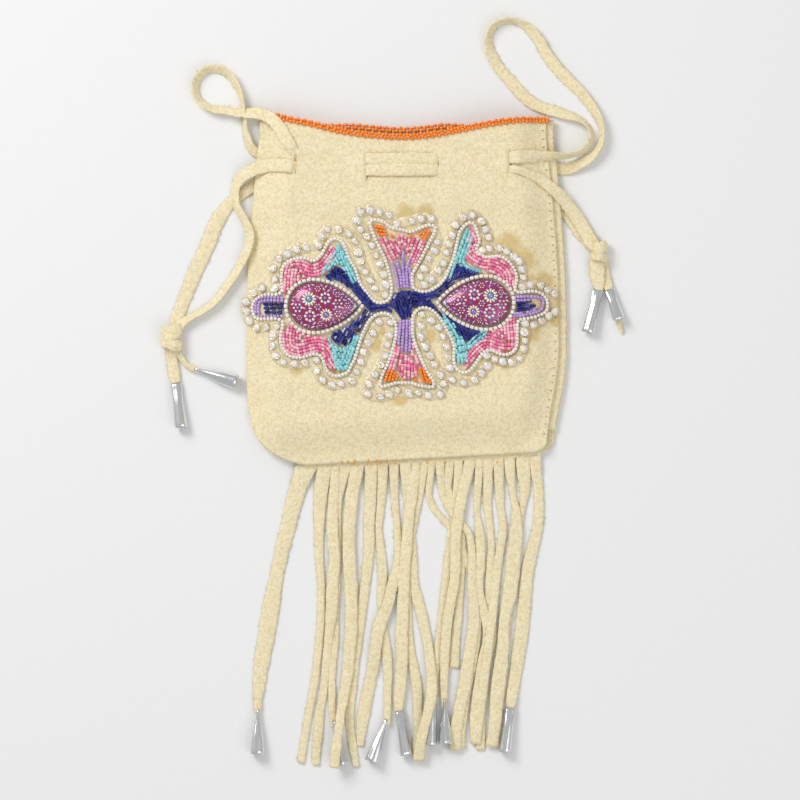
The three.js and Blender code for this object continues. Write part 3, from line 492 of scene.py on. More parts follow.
def relief_material(name, stops):
    """Raised metallised shapes of a cabochon, shade by piece."""
    paint = Paint(name)
    normal = paint.bump(paint.noise(0.7, 2), 0.06, 0.5)
    look = paint.shades(paint.each(), stops)
    rough = 0.22 + paint.noise(1.1) * 0.1
    return paint.finish(base_color=look, roughness=rough, metallic=0.35, normal=normal, coat_weight=0.6)


def thread_material(name, shade):
    paint = Paint(name)
    twist = paint.noise(0.35, 2, 0.6)
    look = paint.mix(twist, scaled(shade, 0.7), scaled(shade, 1.15))
    return paint.finish(base_color=look, roughness=0.7 + twist * 0.2, normal=paint.bump(twist, 0.1, 0.6))


def floor_material():
    paint = Paint("studio_floor")
    shade = tuple(colours().floor)
    look = paint.mix(paint.noise(3, 3), scaled(shade, 0.985), scaled(shade, 1.01))
    return paint.finish(base_color=look, roughness=0.9, specular_ior_level=0.1)


# Making pieces


def piece(name, mesh_in_mm, material, nodes=(), slot=None, smooth=True):
    """An object from a bmesh in millimetres, riding on the bag's body."""
    bmesh.ops.scale(mesh_in_mm, vec=(MM, MM, MM), verts=mesh_in_mm.verts)
    data = bpy.data.meshes.new(name)
    mesh_in_mm.to_mesh(data)
    mesh_in_mm.free()
    for face in data.polygons:
        face.use_smooth = smooth
    data.materials.append(material)
    made = bpy.data.objects.new(name, data)
    bpy.context.scene.collection.objects.link(made)
    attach(made, BODY)
    if nodes:
        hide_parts(*nodes)
    return made


def thickened(made, thickness, offset=0.0):
    solid = made.modifiers.new("thickness", "SOLIDIFY")
    solid.thickness = thickness
    solid.offset = offset
    solid.use_even_offset = True
    solid.use_quality_normals = True
    return made


def smoothed(line, steps):
    """A Catmull-Rom line through points of any number of values, with steps between each two."""
    points = [line[0], *line, line[-1]]
    out = []
    for before, start, end, after in zip(points, points[1:], points[2:], points[3:]):
        for i in range(steps):
            t = i / steps
            blend = (-t**3 + 2 * t**2 - t, 3 * t**3 - 5 * t**2 + 2, -3 * t**3 + 4 * t**2 + t, t**3 - t**2)
            mixed = zip(before, start, end, after)
            out.append(tuple(sum(b * v for b, v in zip(blend, values)) / 2 for values in mixed))
    out.append(tuple(line[-1]))
    return out


def length_of(line):
    return sum((Vector(b[:3]) - Vector(a[:3])).length for a, b in zip(line, line[1:]))


RIBBON_SIDES = 12
RIBBON_FLATNESS = 0.55  # below 1, the broad faces of a strip are flatter than those of an ellipse
RIBBON_EDGE = 0.7
FIBRES_PER_MM = 1.5
LONG_FIBRES = 0.12
ABOVE_TABLE = 0.02


def strip_frame(line, i):
    """A strip's point, the way it runs there, and the ways of its width and its thickness."""
    before, after = Vector(line[max(0, i - 1)][:3]), Vector(line[min(len(line) - 1, i + 1)][:3])
    along = (after - before).normalized()
    across = Vector((0, 0, 1)).cross(along)
    across = across.normalized() if across.length > 1e-6 else Vector((1, 0, 0))
    turn = Matrix.Rotation(math.radians(line[i][4]), 3, along)
    return Vector(line[i][:3]), along, turn @ across, turn @ along.cross(across)


def squared(value, power):
    """A sine or cosine drawn towards 1 or -1, so that a round section becomes flatter."""
    return math.copysign(abs(value) ** power, value)


def add_ribbon(mesh, line, thickness, fray, seed):
    """Adds a flat strip along points of x, y, z, width and roll. Roll stands it on edge, in degrees."""
    rings = len(line) - 1
    strip = bmesh.new()
    bmesh.ops.create_cone(strip, cap_ends=True, segments=RIBBON_SIDES, radius1=1, radius2=1, depth=1)
    uprights = [e for e in strip.edges if abs(e.verts[0].co.z - e.verts[1].co.z) > 0.5]
    bmesh.ops.subdivide_edges(strip, edges=uprights, cuts=rings - 1)
    frames = [strip_frame(line, i) for i in range(len(line))]
    for v in strip.verts:
        i = round((v.co.z + 0.5) * rings)
        point, _, across, up = frames[i]
        angle = math.atan2(v.co.y, v.co.x)
        flat = squared(math.cos(angle), RIBBON_FLATNESS)
        thick = squared(math.sin(angle), RIBBON_EDGE)
        where = Vector((point.x / 1.7, point.y / 1.7, seed + (5 if flat > 0 else 0)))
        rough = 1 + fray * noise.noise(where) * 2 + fray * 0.8 * noise.noise(where * 3.1)
        bow = 0.16 * noise.noise(Vector((point.x / 4, point.y / 4, seed)))
        bow *= 1 + flat * noise.noise(where / 2)
        high = thick * thickness / 2 * (1 - 0.2 * abs(flat)) + bow
        v.co = point + across * (flat * line[i][3] / 2 * rough) + up * high
    for v in strip.verts:
        v.co.z = max(v.co.z, ABOVE_TABLE)
    join(mesh, strip)
    rng = random.Random(int(seed * 10) + 1)
    join(mesh, scatter(fibre_template(), fibre_places(line, frames, thickness, rng)))


def fibre_template():
    fibre = bmesh.new()
    bmesh.ops.create_cone(fibre, cap_ends=True, segments=3, radius1=0.5, radius2=0.16, depth=1)
    return fibre


def fibre_places(line, frames, thickness, rng):
    """Short loose fibres that stand out from both cut edges of a strip, a few of them long."""
    out = []
    for i, (point, along, across, up) in enumerate(frames[1:-1], 1):
        run = frames[i + 1][0] - point
        for _ in range(int(run.length * FIBRES_PER_MM + rng.random())):
            side = rng.choice((-1, 1))
            root = point + run * rng.random() + across * (side * (line[i][3] / 2 - 0.1))
            root += up * (rng.uniform(-0.3, 0.3) * thickness)
            root.z = max(root.z, 0.25)
            way = across * side + along * rng.uniform(-1.3, 1.3) + up * rng.uniform(-0.3, 0.5)
            way.z = max(way.z, -0.1)
            long = rng.uniform(0.5, 1.0)
            long += rng.uniform(0.4, 1.1) if rng.random() < LONG_FIBRES else 0
            wide = rng.uniform(0.18, 0.36)
            shape = Matrix.Diagonal((wide, wide, long, 1)) @ Matrix.Translation((0, 0, 0.4))
            out.append(stand(root, way, (0.03, 0.02, 1)) @ shape)
    return out


def rested(line, thickness):
    """The line of a strip, raised where it would go through the table."""
    out = []
    for x, y, z, width, roll in line:
        turn = math.radians(roll)
        rise = abs(math.sin(turn)) * width / 2 + abs(math.cos(turn)) * thickness / 2
        out.append((x, y, max(z, rise + 0.05), width, roll))
    return out


def join(mesh, other, matrix=None):
    """Adds another bmesh to this one and frees it."""
    held = bpy.data.meshes.new("held")
    other.to_mesh(held)
    other.free()
    if matrix is not None:
        held.transform(matrix)
    mesh.from_mesh(held)
    bpy.data.meshes.remove(held)


def scatter(template, places):
    """One bmesh with a copy of the template at each matrix."""
    held = bpy.data.meshes.new("template")
    template.to_mesh(held)
    template.free()
    mesh = bmesh.new()
    for matrix in places:
        copy = held.copy()
        copy.transform(matrix)
        mesh.from_mesh(copy)
        bpy.data.meshes.remove(copy)
    bpy.data.meshes.remove(held)
    return mesh


def turned(profile, segments):
    """A closed shape turned about Z from points of radius and height."""
    mesh = bmesh.new()
    rim = [mesh.verts.new((r, 0, z)) for r, z in profile]
    edges = [mesh.edges.new(pair) for pair in zip(rim, rim[1:])]
    edges.append(mesh.edges.new((rim[-1], rim[0])))
    bmesh.ops.spin(mesh, geom=[*rim, *edges], cent=(0, 0, 0), axis=(0, 0, 1), angle=2 * math.pi,
                   steps=segments, use_merge=True)
    bmesh.ops.remove_doubles(mesh, verts=mesh.verts, dist=1e-4)
    bmesh.ops.recalc_face_normals(mesh, faces=mesh.faces)
    return mesh


BEAD_HOLE = 0.26
BEAD_SHOULDER = 0.78


def bead_template(width, length, segments):
    """A seed bead along Z, with rounded rims and a hole."""
    r, h, hole = width / 2, length / 2, BEAD_HOLE * width
    shoulder = r * BEAD_SHOULDER
    rim = min(0.3 * width, 0.45 * h)
    profile = [(hole, -h), (shoulder, -h), (r, -h + rim), (r, h - rim), (shoulder, h), (hole, h)]
    return turned(profile, segments)


def stand(point, axis, up, size=1.0):
    """A matrix that puts Z along axis and Y near up at a point."""
    z = Vector(axis).normalized()
    x = Vector(up).cross(z).normalized()
    y = z.cross(x)
    turn = Matrix((x, y, z)).transposed().to_4x4()
    return Matrix.Translation(point) @ turn @ Matrix.Scale(size, 4)


def lying(point, axis, normal, size=1.0):
    """A matrix like the one of stand(), with the axis brought into the surface of this normal."""
    return stand(point, axis - normal * axis.dot(normal), normal, size)


def walk(line, pitch, start=0.0):
    """Points and directions every pitch along a line of x and y."""
    out, want, gone = [], start, 0.0
    for (ax, ay), (bx, by) in zip(line, line[1:]):
        run = math.hypot(bx - ax, by - ay)
        while run and want <= gone + run:
            share = (want - gone) / run
            point = (ax + (bx - ax) * share, ay + (by - ay) * share)
            out.append((point, ((bx - ax) / run, (by - ay) / run)))
            want += pitch
        gone += run
    return out


def span(line):
    return sum(math.hypot(b[0] - a[0], b[1] - a[1]) for a, b in zip(line, line[1:]))


def fitted(line, pitch, closed=False):
    """Points along a line whose pitch is changed a little so that they fill it."""
    total = span(line)
    count = max(1, round(total / pitch))
    step = total / count
    return walk(line, step * 0.99999, 0 if closed else step / 2)[:count]


def inside(point, outline):
    x, y = point
    odd = False
    for (ax, ay), (bx, by) in zip(outline, outline[1:] + outline[:1]):
        if (ay > y) != (by > y) and x < (bx - ax) * (y - ay) / (by - ay) + ax:
            odd = not odd
    return odd


def beside(line, offset):
    """A line at a distance to the left of another."""
    out = []
    for i, (x, y) in enumerate(line):
        before, after = line[max(0, i - 1)], line[min(len(line) - 1, i + 1)]
        dx, dy = after[0] - before[0], after[1] - before[1]
        run = math.hypot(dx, dy) or 1.0
        out.append((x - dy / run * offset, y + dx / run * offset))
    return out


CLEAR_SHARE = 0.8  # of a bead's width, from the middle of one to the middle of the next


class BeadRows:
    """Beads laid in rows, none of them in the place of another."""

    def __init__(self, length, width):
        self.length = length
        self.width = width
        self.laid = []

    def clear(self, point):
        near = CLEAR_SHARE * self.width
        return all(math.hypot(point[0] - p[0], point[1] - p[1]) > near for p, _ in self.laid)

    def row(self, line, outline=None):
        for point, along in fitted(line, self.length):
            if (outline is None or inside(point, outline)) and self.clear(point):
                self.laid.append((point, along))

    def patch(self, guide, rows, outline, pitch):
        """Rows beside a guide line, towards the middle of the outline."""
        middle = (sum(p[0] for p in outline) / len(outline), sum(p[1] for p in outline) / len(outline))
        (gx, gy), (dx, dy) = walk(guide, span(guide) / 2.001)[1]
        side = 1 if dx * (middle[1] - gy) - dy * (middle[0] - gx) > 0 else -1
        for k in range(rows):
            self.row(beside(guide, side * pitch * k), outline)

    def matrices(self, rng, lift):
        out = []
        for (x, y), (dx, dy) in self.laid:
            wobble = rng.uniform(-0.09, 0.09)
            axis = Vector((dx - dy * wobble, dy + dx * wobble, rng.uniform(-0.05, 0.05)))
            point, normal = lies_on_front(x, y, lift + rng.uniform(-0.05, 0.08))
            out.append(lying(point, axis, normal, rng.uniform(0.95, 1.03)))
        return out


# Thongs. A point of a thong is x, y, z, width and roll, in millimetres and degrees.


def laid(place, *rows):
    """Points that lie in the same kind of place, each from x, y, layer or lift, width and roll."""
    return [place(*row) for row in rows]


def on_table(x, y, layer=0.0, width=5.4, roll=0.0):
    return (x, y, 0.6 + 1.3 * layer, width, roll)


def on_front(x, y, extra=0.0, width=5.2, roll=0.0):
    return (x, y, front_top(x, y) + 0.7 + extra, width, roll)


def under_front(x, y, layer=0, width=4.6, roll=0.0):
    return (x, y, front_under(x, y) - 0.8 - 1.3 * layer, width, roll)


def over_back(x, y, layer=0, width=4.6, roll=0.0):
    return (x, y, back_top(y) + 0.8 + 1.3 * layer, width, roll)


def under_back(x, y, extra=0.0, width=4.8, roll=0.0):
    return (x, y, back_under(y) - 0.7 + extra, width, roll)


def threaded(start_lane, end_lane, layer, outside, inside_bag):
    """The stretch of a thong that goes in and out of the four slits of a panel, from left to right."""
    line = []
    for i, (x, _, _, _) in enumerate(SLITS):
        lane = start_lane if i == 0 else end_lane
        first, last = (outside, inside_bag) if i % 2 == 0 else (inside_bag, outside)
        a, b = first(x - 2.2, lane), last(x + 2.2, lane)
        middle = tuple((p + q) / 2 for p, q in zip(a, b))
        line += [a, (x, lane, middle[2], 4.4, 0), b]
        if i == 0:
            for near, share in ((7, 0), (10, 0.15), (15.5, 0.5), (21, 0.85), (24, 1)):
                line.append(inside_bag(x + near, lane + (end_lane - lane) * share, layer))
    return line


def left_tail_front():
    return [
        under_front(-44, LANE_LOW),
        *laid(on_front,
            (-47.4, LANE_LOW + 1, -1.2), (-50, LANE_LOW + 1.6, 0.1, 5.8), (-55, 54, 0.3, 6),
            (-61, 53.6, 0.5, 5.8), (-66, 51.8, 0.7, 5.6, 12)),
        (-70.6, 49.4, 3.8, 5.6, 20),
        *laid(on_table,
            (-73.6, 44.6, 1, 5, 36), (-73.6, 38.6, 1.2, 4.6, 44), (-72, 34.2, 1.8, 4.6, 44),
            (-69, 29, 2.6, 4.6, 40), (-67.4, 23.6, 2.9, 4.8, 36), (-68.6, 17.2, 2.7, 4.8, 36),
            (-72.2, 9.6, 1.6, 4.8, 42), (-77.4, 1.8, 0.6, 4.6, 46), (-82.7, -5, 0.6, 4.6, 50),
            (-89, -9.6, 1, 4.4, 50), (-95.3, -13, 1.4, 4.4, 44)),
        (-98.6, -16, 3, 4.8, 0), (-100.4, -19.4, 3.6, 4.4, 0)]


def left_tail_back():
    return [
        over_back(-45, LANE_LOW), under_back(-49, LANE_LOW, 0.4), under_back(-55, 50.6),
        *laid(on_table,
            (-61, 47.6), (-66, 45), (-71.3, 41.4, 0, 4.6), (-76.4, 37.2, 0, 5), (-81.6, 29.8, 0, 6.2),
            (-86.1, 18.7, 0, 6.4), (-90.9, 8.7, 0, 6.2), (-94.6, -0.4, 0, 5.8), (-97.6, -8, 0, 5.6),
            (-99.4, -13.4, 0.4, 5.2)),
        (-100.6, -18.8, 2.2, 4.6, 0)]


def right_loop():
    return [
        under_front(42.6, LANE_HIGH),
        *laid(on_front,
            (45.7, LANE_HIGH + 0.4, -1.2, 5), (48.4, LANE_HIGH + 0.8, 0.1, 5.8), (54, 57.6, 0.3, 5.6, 8),
            (60, 57.8, 0.5, 5.2, 30), (65.4, 58, 0.6, 5, 55)),
        (71.4, 58.2, 4.4, 4.8, 66),
        *laid(on_table,
            (77.4, 60.4, 1, 4.8, 68), (80.8, 65, 1, 4.8, 70), (80.2, 70.2, 0, 4.8, 68),
            (76.6, 73.8, 0, 4.8, 60), (69.2, 76.4, 0, 5, 30), (63.1, 78.2, 0, 5.2, 14),
            (57.4, 80.4, 0, 5.2, 6), (52.2, 83.5, 0, 5.2, 4), (47.4, 89.2, 0, 5.2, 4),
            (41.3, 96.1, 0, 5, 10), (37.8, 102.2, 0, 5, 25), (36.3, 107.6, 0, 4.8, 40),
            (37.4, 112.8, 0, 4.6, 54), (41.6, 116.4, 0, 4.6, 60), (47.6, 116.8, 0, 4.6, 58),
            (53.1, 114.1, 0, 4.8, 40), (57.6, 109.4, 0, 5, 24), (60.9, 103.5, 0, 5.2, 16),
            (64.8, 97.9, 0, 5.2, 14), (70, 92.2, 0, 5.2, 16), (76.1, 86.1, 0, 5, 24),
            (81.6, 79, 0, 4.8, 36), (85.2, 72, 0, 4.8, 64), (85.2, 64.4, 0, 4.8, 62),
            (81.4, 58.4, 0, 4.8, 44), (75.6, 54.4, 0, 4.8, 20), (69.4, 52.6)),
        *laid(under_back, (62, 53.4), (54, LANE_HIGH - 1.6), (49.4, LANE_HIGH - 0.6, 0.4)),
        over_back(43.6, LANE_HIGH)]


def right_tail_front():
    return [
        under_front(42.6, LANE_LOW),
        *laid(on_front,
            (45.7, LANE_LOW + 0.2, -1.2, 3.6), (48, 52, 0.1, 3.4), (51.8, 50.9, 0.2, 3.6),
            (58, 48.2, 0.7, 4.2), (63.4, 44.2, 1.2, 5)),
        (68.6, 39.4, 5.2, 5.4, 0), (73.2, 33.6, 3, 5.8, 0), on_table(76.8, 28, 1.2, 6, 0),
        on_table(79.8, 22.6, 1.4, 6, 0), (82.4, 19.2, 3, 5.4, 0), (84, 17.2, 3.4, 4.8, 0)]


def right_tail_back():
    return [
        over_back(43.6, LANE_LOW), under_back(49, LANE_LOW - 0.4, 0.4), under_back(54, 48.6),
        *laid(on_table,
            (60, 44.4), (65.4, 40.2, 0, 5.4), (70, 34.8, 0, 5.8), (73.6, 29.2, 0, 6), (77, 24.2, 0, 6),
            (80.2, 20.4, 0.2, 5.4)),
        (83.2, 17.4, 1.9, 4.6, 0)]


def left_loop():
    return [
        under_front(-45.4, 56.8),
        *laid(on_front,
            (-47.4, 59.4, -0.9, 4.6), (-49.2, 61.8, 0.1, 5), (-51.4, 65.2, 0.6, 5.6),
            (-54.2, 70, 1.2, 5.6), (-58.6, 74.6, 1.6, 5.4, 6)),
        (-63.8, 76.6, 5.6, 5.4, 14), (-68.4, 76.6, 4.2, 5, 30),
        *laid(on_table,
            (-73, 77, 2.6, 4.8, 40), (-78, 78, 0.6, 4.8, 44), (-83, 78.4, 0, 4.8, 46),
            (-87.2, 80.4, 0, 4.8, 48), (-90.4, 83.8, 0, 4.8, 50), (-91, 88.4, 0, 4.8, 50),
            (-89.6, 92.8, 0, 4.8, 48), (-86, 95.6, 0, 4.8, 46), (-81.4, 96, 0, 4.8, 44),
            (-77, 94, 0, 4.8, 46), (-73.4, 89.4, 0, 4.8, 56), (-71.2, 84, 0, 4.6, 66),
            (-70.2, 78, 0, 4.6, 70), (-69.6, 71, 0, 4.6, 64), (-68.2, 65, 0, 4.6, 46),
            (-66, 60.8, 0, 4.6, 20)),
        *laid(under_back, (-60, 58.2), (-54, LANE_HIGH), (-49.6, LANE_HIGH, 0.4)),
        over_back(-44, LANE_HIGH)]


STRIP_STEPS = 5


def thong(name, line, nodes, seed, material):
    """One stretch of a drawstring and the line it follows."""
    line = rested(smoothed(line, STRIP_STEPS), sizes().thong_thickness / MM)
    mesh = bmesh.new()
    add_ribbon(mesh, line, sizes().thong_thickness / MM, 0.075, seed)
    return piece(name, mesh, material, nodes, "suede"), line


def in_metres(line):
    return [tuple(c * MM for c in point[:3]) for point in line]


def free_cord(made, line, slit):
    """Works out, in metres, the slit, the length and the points of a free stretch of a drawstring whose
    line was read off the photograph, and keeps none of them.
    """
    tuple(c * MM for c in slit)
    length_of(line) * MM
    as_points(in_metres(line))


def cone_mesh(tip, mouth, crimp, seam, seed):
    """A rolled metal cone on the table, its tip pressed flat, or pinched thin if crimp is negative."""
    run = Vector((mouth[0] - tip[0], mouth[1] - tip[1], 0))
    length = run.length
    run.normalize()
    side = Vector((-run.y, run.x, 0))
    mesh = bmesh.new()
    bmesh.ops.create_grid(mesh, x_segments=40, y_segments=14, size=0.5)
    flat, pinched = crimp > 0, crimp < 0
    for v in mesh.verts:
        around, share = v.co.x + 0.5, v.co.y + 0.5
        radius = CONE_TIP_RADIUS + (CONE_MOUTH_RADIUS - CONE_TIP_RADIUS) * share - CONE_SHEET / 2
        angle = seam + around * (2 * math.pi + CONE_LAP)
        radius += CONE_SHEET * 1.15 * (ramp(around, 0.9, 0.96) - 0.5 * ramp(around, 0, 0.08))
        pressed = abs(crimp) * (1 - ramp(share, 0.02, 0.42 if flat else 0.72))
        flare = 0.16 * share * share if pinched else 0
        radius *= 1 + 0.03 * noise.noise(Vector((share * 4, around * 5, seed))) + flare
        wide = math.cos(angle) * radius * (1 + (0.3 if flat else -0.64) * pressed)
        tall = math.sin(angle) * radius * (1 - 0.55 * pressed)
        rest = CONE_TIP_RADIUS + (CONE_MOUTH_RADIUS - CONE_TIP_RADIUS) * share
        cut = 0.35 * noise.noise(Vector((around * 3, seed, share)))
        reach = length * share + cut * (1 if share > 0.5 else -1)
        middle = Vector((tip[0], tip[1], rest + 0.05)) + run * reach
        v.co = middle + side * wide + Vector((0, 0, tall))
    bmesh.ops.recalc_face_normals(mesh, faces=mesh.faces)
    return mesh


def cone(node, tip, mouth, crimp, seam, seed, material):
    made = piece("rolled_" + node, cone_mesh(tip, mouth, crimp, seam, seed), material, [node], "cone_metal")
    return thickened(made, CONE_SHEET * MM)


def wrap_profile(radius, width, thick):
    """The section of one turn of a knot, as radius and height."""
    out = []
    for k in range(12):
        angle = 2 * math.pi * k / 12
        out.append((radius + math.cos(angle) * thick / 2, squared(math.sin(angle), 0.8) * width / 2))
    return out


# Turns of a knot: offset along it, lean, width, height and breadth, as shares of the knot's radii
KNOT_TURNS = [
    (0.5, 0.34, 0.96, 0.92, 0.8), (-0.46, -0.22, 0.98, 0.97, 0.84), (0.04, 0.72, 0.92, 1.06, 0.7),
    (0.0, -0.3, 0.72, 0.8, 1.3)]
KNOT_SPREAD = 1.22


def knot_mesh(centre, radii, seed):
    """An overhand knot: turns round the strips and one that crosses over them."""
    mesh = bmesh.new()
    for offset, lean, wide, tall, broad in KNOT_TURNS:
        band = turned(wrap_profile(1.0, broad * radii[1], 0.5), 36)
        squash = Matrix.Diagonal((radii[0] * wide / KNOT_SPREAD, radii[2] * tall / KNOT_SPREAD, 1, 1))
        place = Matrix.Translation((centre[0], centre[1] + offset * radii[1], centre[2]))
        place = place @ Matrix.Rotation(lean, 4, "Z")
        join(mesh, band, place @ Matrix.Rotation(math.pi / 2, 4, "X") @ squash)
    bmesh.ops.subdivide_edges(mesh, edges=mesh.edges, cuts=1, use_grid_fill=True)
    for v in mesh.verts:
        out = (v.co - Vector(centre)).normalized()
        v.co += out * (0.6 * noise.noise(v.co / 2.2 + Vector((seed, 0, 0))) + 0.2 * noise.noise(v.co / 0.7))
        v.co.z = max(v.co.z, ABOVE_TABLE + 0.01)
    return mesh


# Knots: centre, radii, the strips that leave them and the cones on those strips
LEFT_KNOT = ((-101.4, -20.9, 3.4), (5.0, 5.9, 3.3))
LEFT_STRIPS = [
    [(-101.6, -22, 2.8, 4.6, 0), (-101.6, -26.5, 2, 4.8, 0), (-101.2, -31, 1.3, 5, 0),
     (-100.2, -37.5, 1.6, 4.8, 0), (-99.3, -42, 1.9, 2.6, 0)],
    [(-100.4, -23, 2.6, 3, 0), (-97.8, -28.6, 2, 2.8, 20), (-95.2, -32.4, 1.7, 2.6, 30),
     (-92.6, -34, 1.9, 2.4, 10), (-89.6, -35, 2, 2.2, 0)]]
LEFT_CONES = [((-99.4, -40.4), (-97.1, -59.8), 0.8, 2.2), ((-91.7, -34.3), (-73.1, -39.9), -1.0, 2.6)]
RIGHT_KNOT = ((84.4, 16.4, 3.2), (3.8, 4.6, 3.1))
RIGHT_STRIPS = [
    [(83.6, 15, 3.2, 5.6, 0), (83.4, 12, 2.8, 6.4, 0), (83.5, 7.3, 2.7, 6.4, 0), (84, 3.4, 2.6, 5.2, 0),
     (84.4, 0.4, 2.2, 3.6, 0), (84, -2, 2, 2.2, 0)],
    [(85.4, 15, 1.9, 4.4, 0), (86, 10.4, 1.3, 5.2, 0), (86.4, 6, 1.2, 5.4, 0), (88, 2.4, 1.6, 4.6, 0),
     (88.8, 0, 2, 3.2, 0), (89.3, -2, 2, 2.2, 0)],
    [(92.2, -10.4, 2.2, 1.8, 0), (92.9, -13.6, 1.7, 2, 20), (93.5, -16.2, 1.1, 1.8, 0),
     (94.3, -18.9, 0.8, 1.2, 0)]]
RIGHT_CONES = [((84.3, 0.1), (79.6, -18.7), 1.0, 2.4), ((88.9, 0.1), (92.9, -12.7), 1.0, 2.0)]


def knot_group(side, knot, strips, cones, material, metal):
    """The knot of a drawstring, its two strips, and the cones on them."""
    node = side + "_drawstring_knot"
    mesh = knot_mesh(*knot, seed=len(side))
    for i, strip in enumerate(strips):
        line = rested(smoothed(strip, STRIP_STEPS), sizes().thong_thickness / MM)
        add_ribbon(mesh, line, sizes().thong_thickness / MM, 0.08, i + len(side))
    group = [piece(side + "_knot_tied", mesh, material, [node], "suede")]
    for i, (tip, mouth, crimp, seam) in enumerate(cones):
        group.append(cone(f"{side}_drawstring_cone_{i + 1}", tip, mouth, crimp, seam, i + len(side), metal))
    return group


TOP_EXIT = 10
BENEATH_EXIT = 2


def drawstring(side, loop_side, knot_parts, lines, lanes, seed):
    """A drawstring: its knot with strips and cones, two tails, the loop, and the runs in the slits."""
    tail_x, loop_x = SLITS[0 if side == "left" else -1][0], SLITS[-1 if side == "left" else 0][0]
    leather = suede_material("thong_suede_" + side)
    metal = metal_material("drawstring_metal_" + side)
    node = [side + "_drawstring"]
    group = knot_group(side, *knot_parts, leather, metal)
    made, line = thong(side + "_tail_on_top", lines[0], node, seed, leather)
    free_cord(made, line, (tail_x, LANE_LOW, TOP_EXIT))
    made, line = thong(side + "_tail_beneath", lines[1], node, seed + 1, leather)
    free_cord(made, line, (tail_x, LANE_LOW, BENEATH_EXIT))
    made, line = thong(loop_side + "_loop", lines[2], node, seed + 2, leather)
    free_cord(made, line, (loop_x, LANE_HIGH, TOP_EXIT))
    front = threaded(*lanes, on_front, under_front)[1:-1]
    thong(side + "_run_front", front, node, seed + 3, leather)
    back = threaded(*lanes, under_back, over_back)[1:-1]
    thong(side + "_run_back", back, node, seed + 4, leather)


# The bag's skin

SKIN_STEP = 1.25
FOLD_RADIUS = 0.78
FOLD_STEPS = 8
SIDE_COLUMNS = 12
STRAIGHT_X = 54.0
CORNER_HIGH_Y = -51.6
CORNER_CONTROL_Y = -70.8


# Where the glue spread into the suede: pixel, and how far in millimetres
STAINS_PX = [
    (508, 246, 6), (520, 262, 6.5), (530, 286, 5.5), (548, 303, 5.5), (513, 350, 5.5), (505, 360, 4),
    (407, 217, 5), (425, 214, 4), (298, 366, 4), (288, 362, 3), (262, 290, 3), (400, 398, 3.5),
    (362, 232, 3.4), (418, 262, 3.4), (382, 330, 3), (427, 340, 3), (556, 300, 4), (556, 318, 4),
    (545, 283, 4.5), (530, 332, 4.5), (377, 345, 3), (430, 336, 3), (335, 369, 3.4)]
STAINS = [(spot((x, y)), reach) for x, y, reach in STAINS_PX]


def skin_bottom(x, from_left, from_right):
    """The cut bottom edge, which curves up to the fold at the left and is cut off at the right."""
    low = bottom_edge(x)
    corner = min(1.0, max(0.0, 1 - from_right / CORNER_RIGHT))
    low += CORNER_RIGHT_RISE * (1 - math.sqrt(1 - corner * corner))
    low += 0.4 * corner * noise.noise(Vector((x * 1.3, 7.7, 0)))
    if from_left >= CORNER_LEFT:
        return low
    t = math.sqrt(max(0.0, from_left) / CORNER_LEFT)
    return (1 - t) ** 2 * CORNER_HIGH_Y + 2 * t * (1 - t) * CORNER_CONTROL_Y + t * t * low


def straight_columns():
    """Columns that stay upright, one of them on each slit."""
    count = round(2 * STRAIGHT_X / SKIN_STEP)
    columns = [-STRAIGHT_X + 2 * STRAIGHT_X * i / count for i in range(count + 1)]
    for slit_x, *_ in SLITS:
        nearest = min(range(len(columns)), key=lambda i: abs(columns[i] - slit_x))
        columns[nearest] = slit_x
    return columns


def panel_columns():
    """Each column of one panel as a rule that gives its x at a height y and a right edge."""
    rules = [("left", i / SIDE_COLUMNS) for i in range(SIDE_COLUMNS)]
    rules += [("at", x) for x in straight_columns()]
    rules += [("right", (i + 1) / SIDE_COLUMNS) for i in range(SIDE_COLUMNS)]
    return rules


def column_x(rule, y, right):
    kind, value = rule
    if kind == "at":
        return value
    if kind == "left":
        return left_edge(y) + FOLD_RADIUS + (-STRAIGHT_X - left_edge(y) - FOLD_RADIUS) * value
    return STRAIGHT_X + (right(y) - STRAIGHT_X) * value


def skin_point(rule, share, front):
    """A point of the middle of the leather."""
    right = (lambda y: right_edge(y) - WELT_SHOW) if front else right_edge
    y = 0.0
    for _ in range(3):
        x = column_x(rule, y, right)
        low = skin_bottom(x, x - left_edge(y) - FOLD_RADIUS, right(y) - x)
        y = low + (mouth_lies(x, front) - low) * share
    z = front_under(x, y) + lip(x, y) if front else back_under(y)
    return Vector((x, y, z + LEATHER / 2))


def fold_point(share, turn):
    """A point of the left fold, from the back (turn 0) to the front (turn 1)."""
    high = mouth_lies(left_edge(70), True)
    y = CORNER_HIGH_Y + (high - CORNER_HIGH_Y) * share
    x = left_edge(y) + FOLD_RADIUS
    low, top = back_under(y) + LEATHER / 2, front_under(x, y) + LEATHER / 2
    angle = math.pi * turn
    reach = FOLD_RADIUS * math.sin(angle) * ramp(y - CORNER_HIGH_Y, -1, 9)
    return Vector((x - reach, y, (low + top) / 2 - (top - low) / 2 * math.cos(angle)))


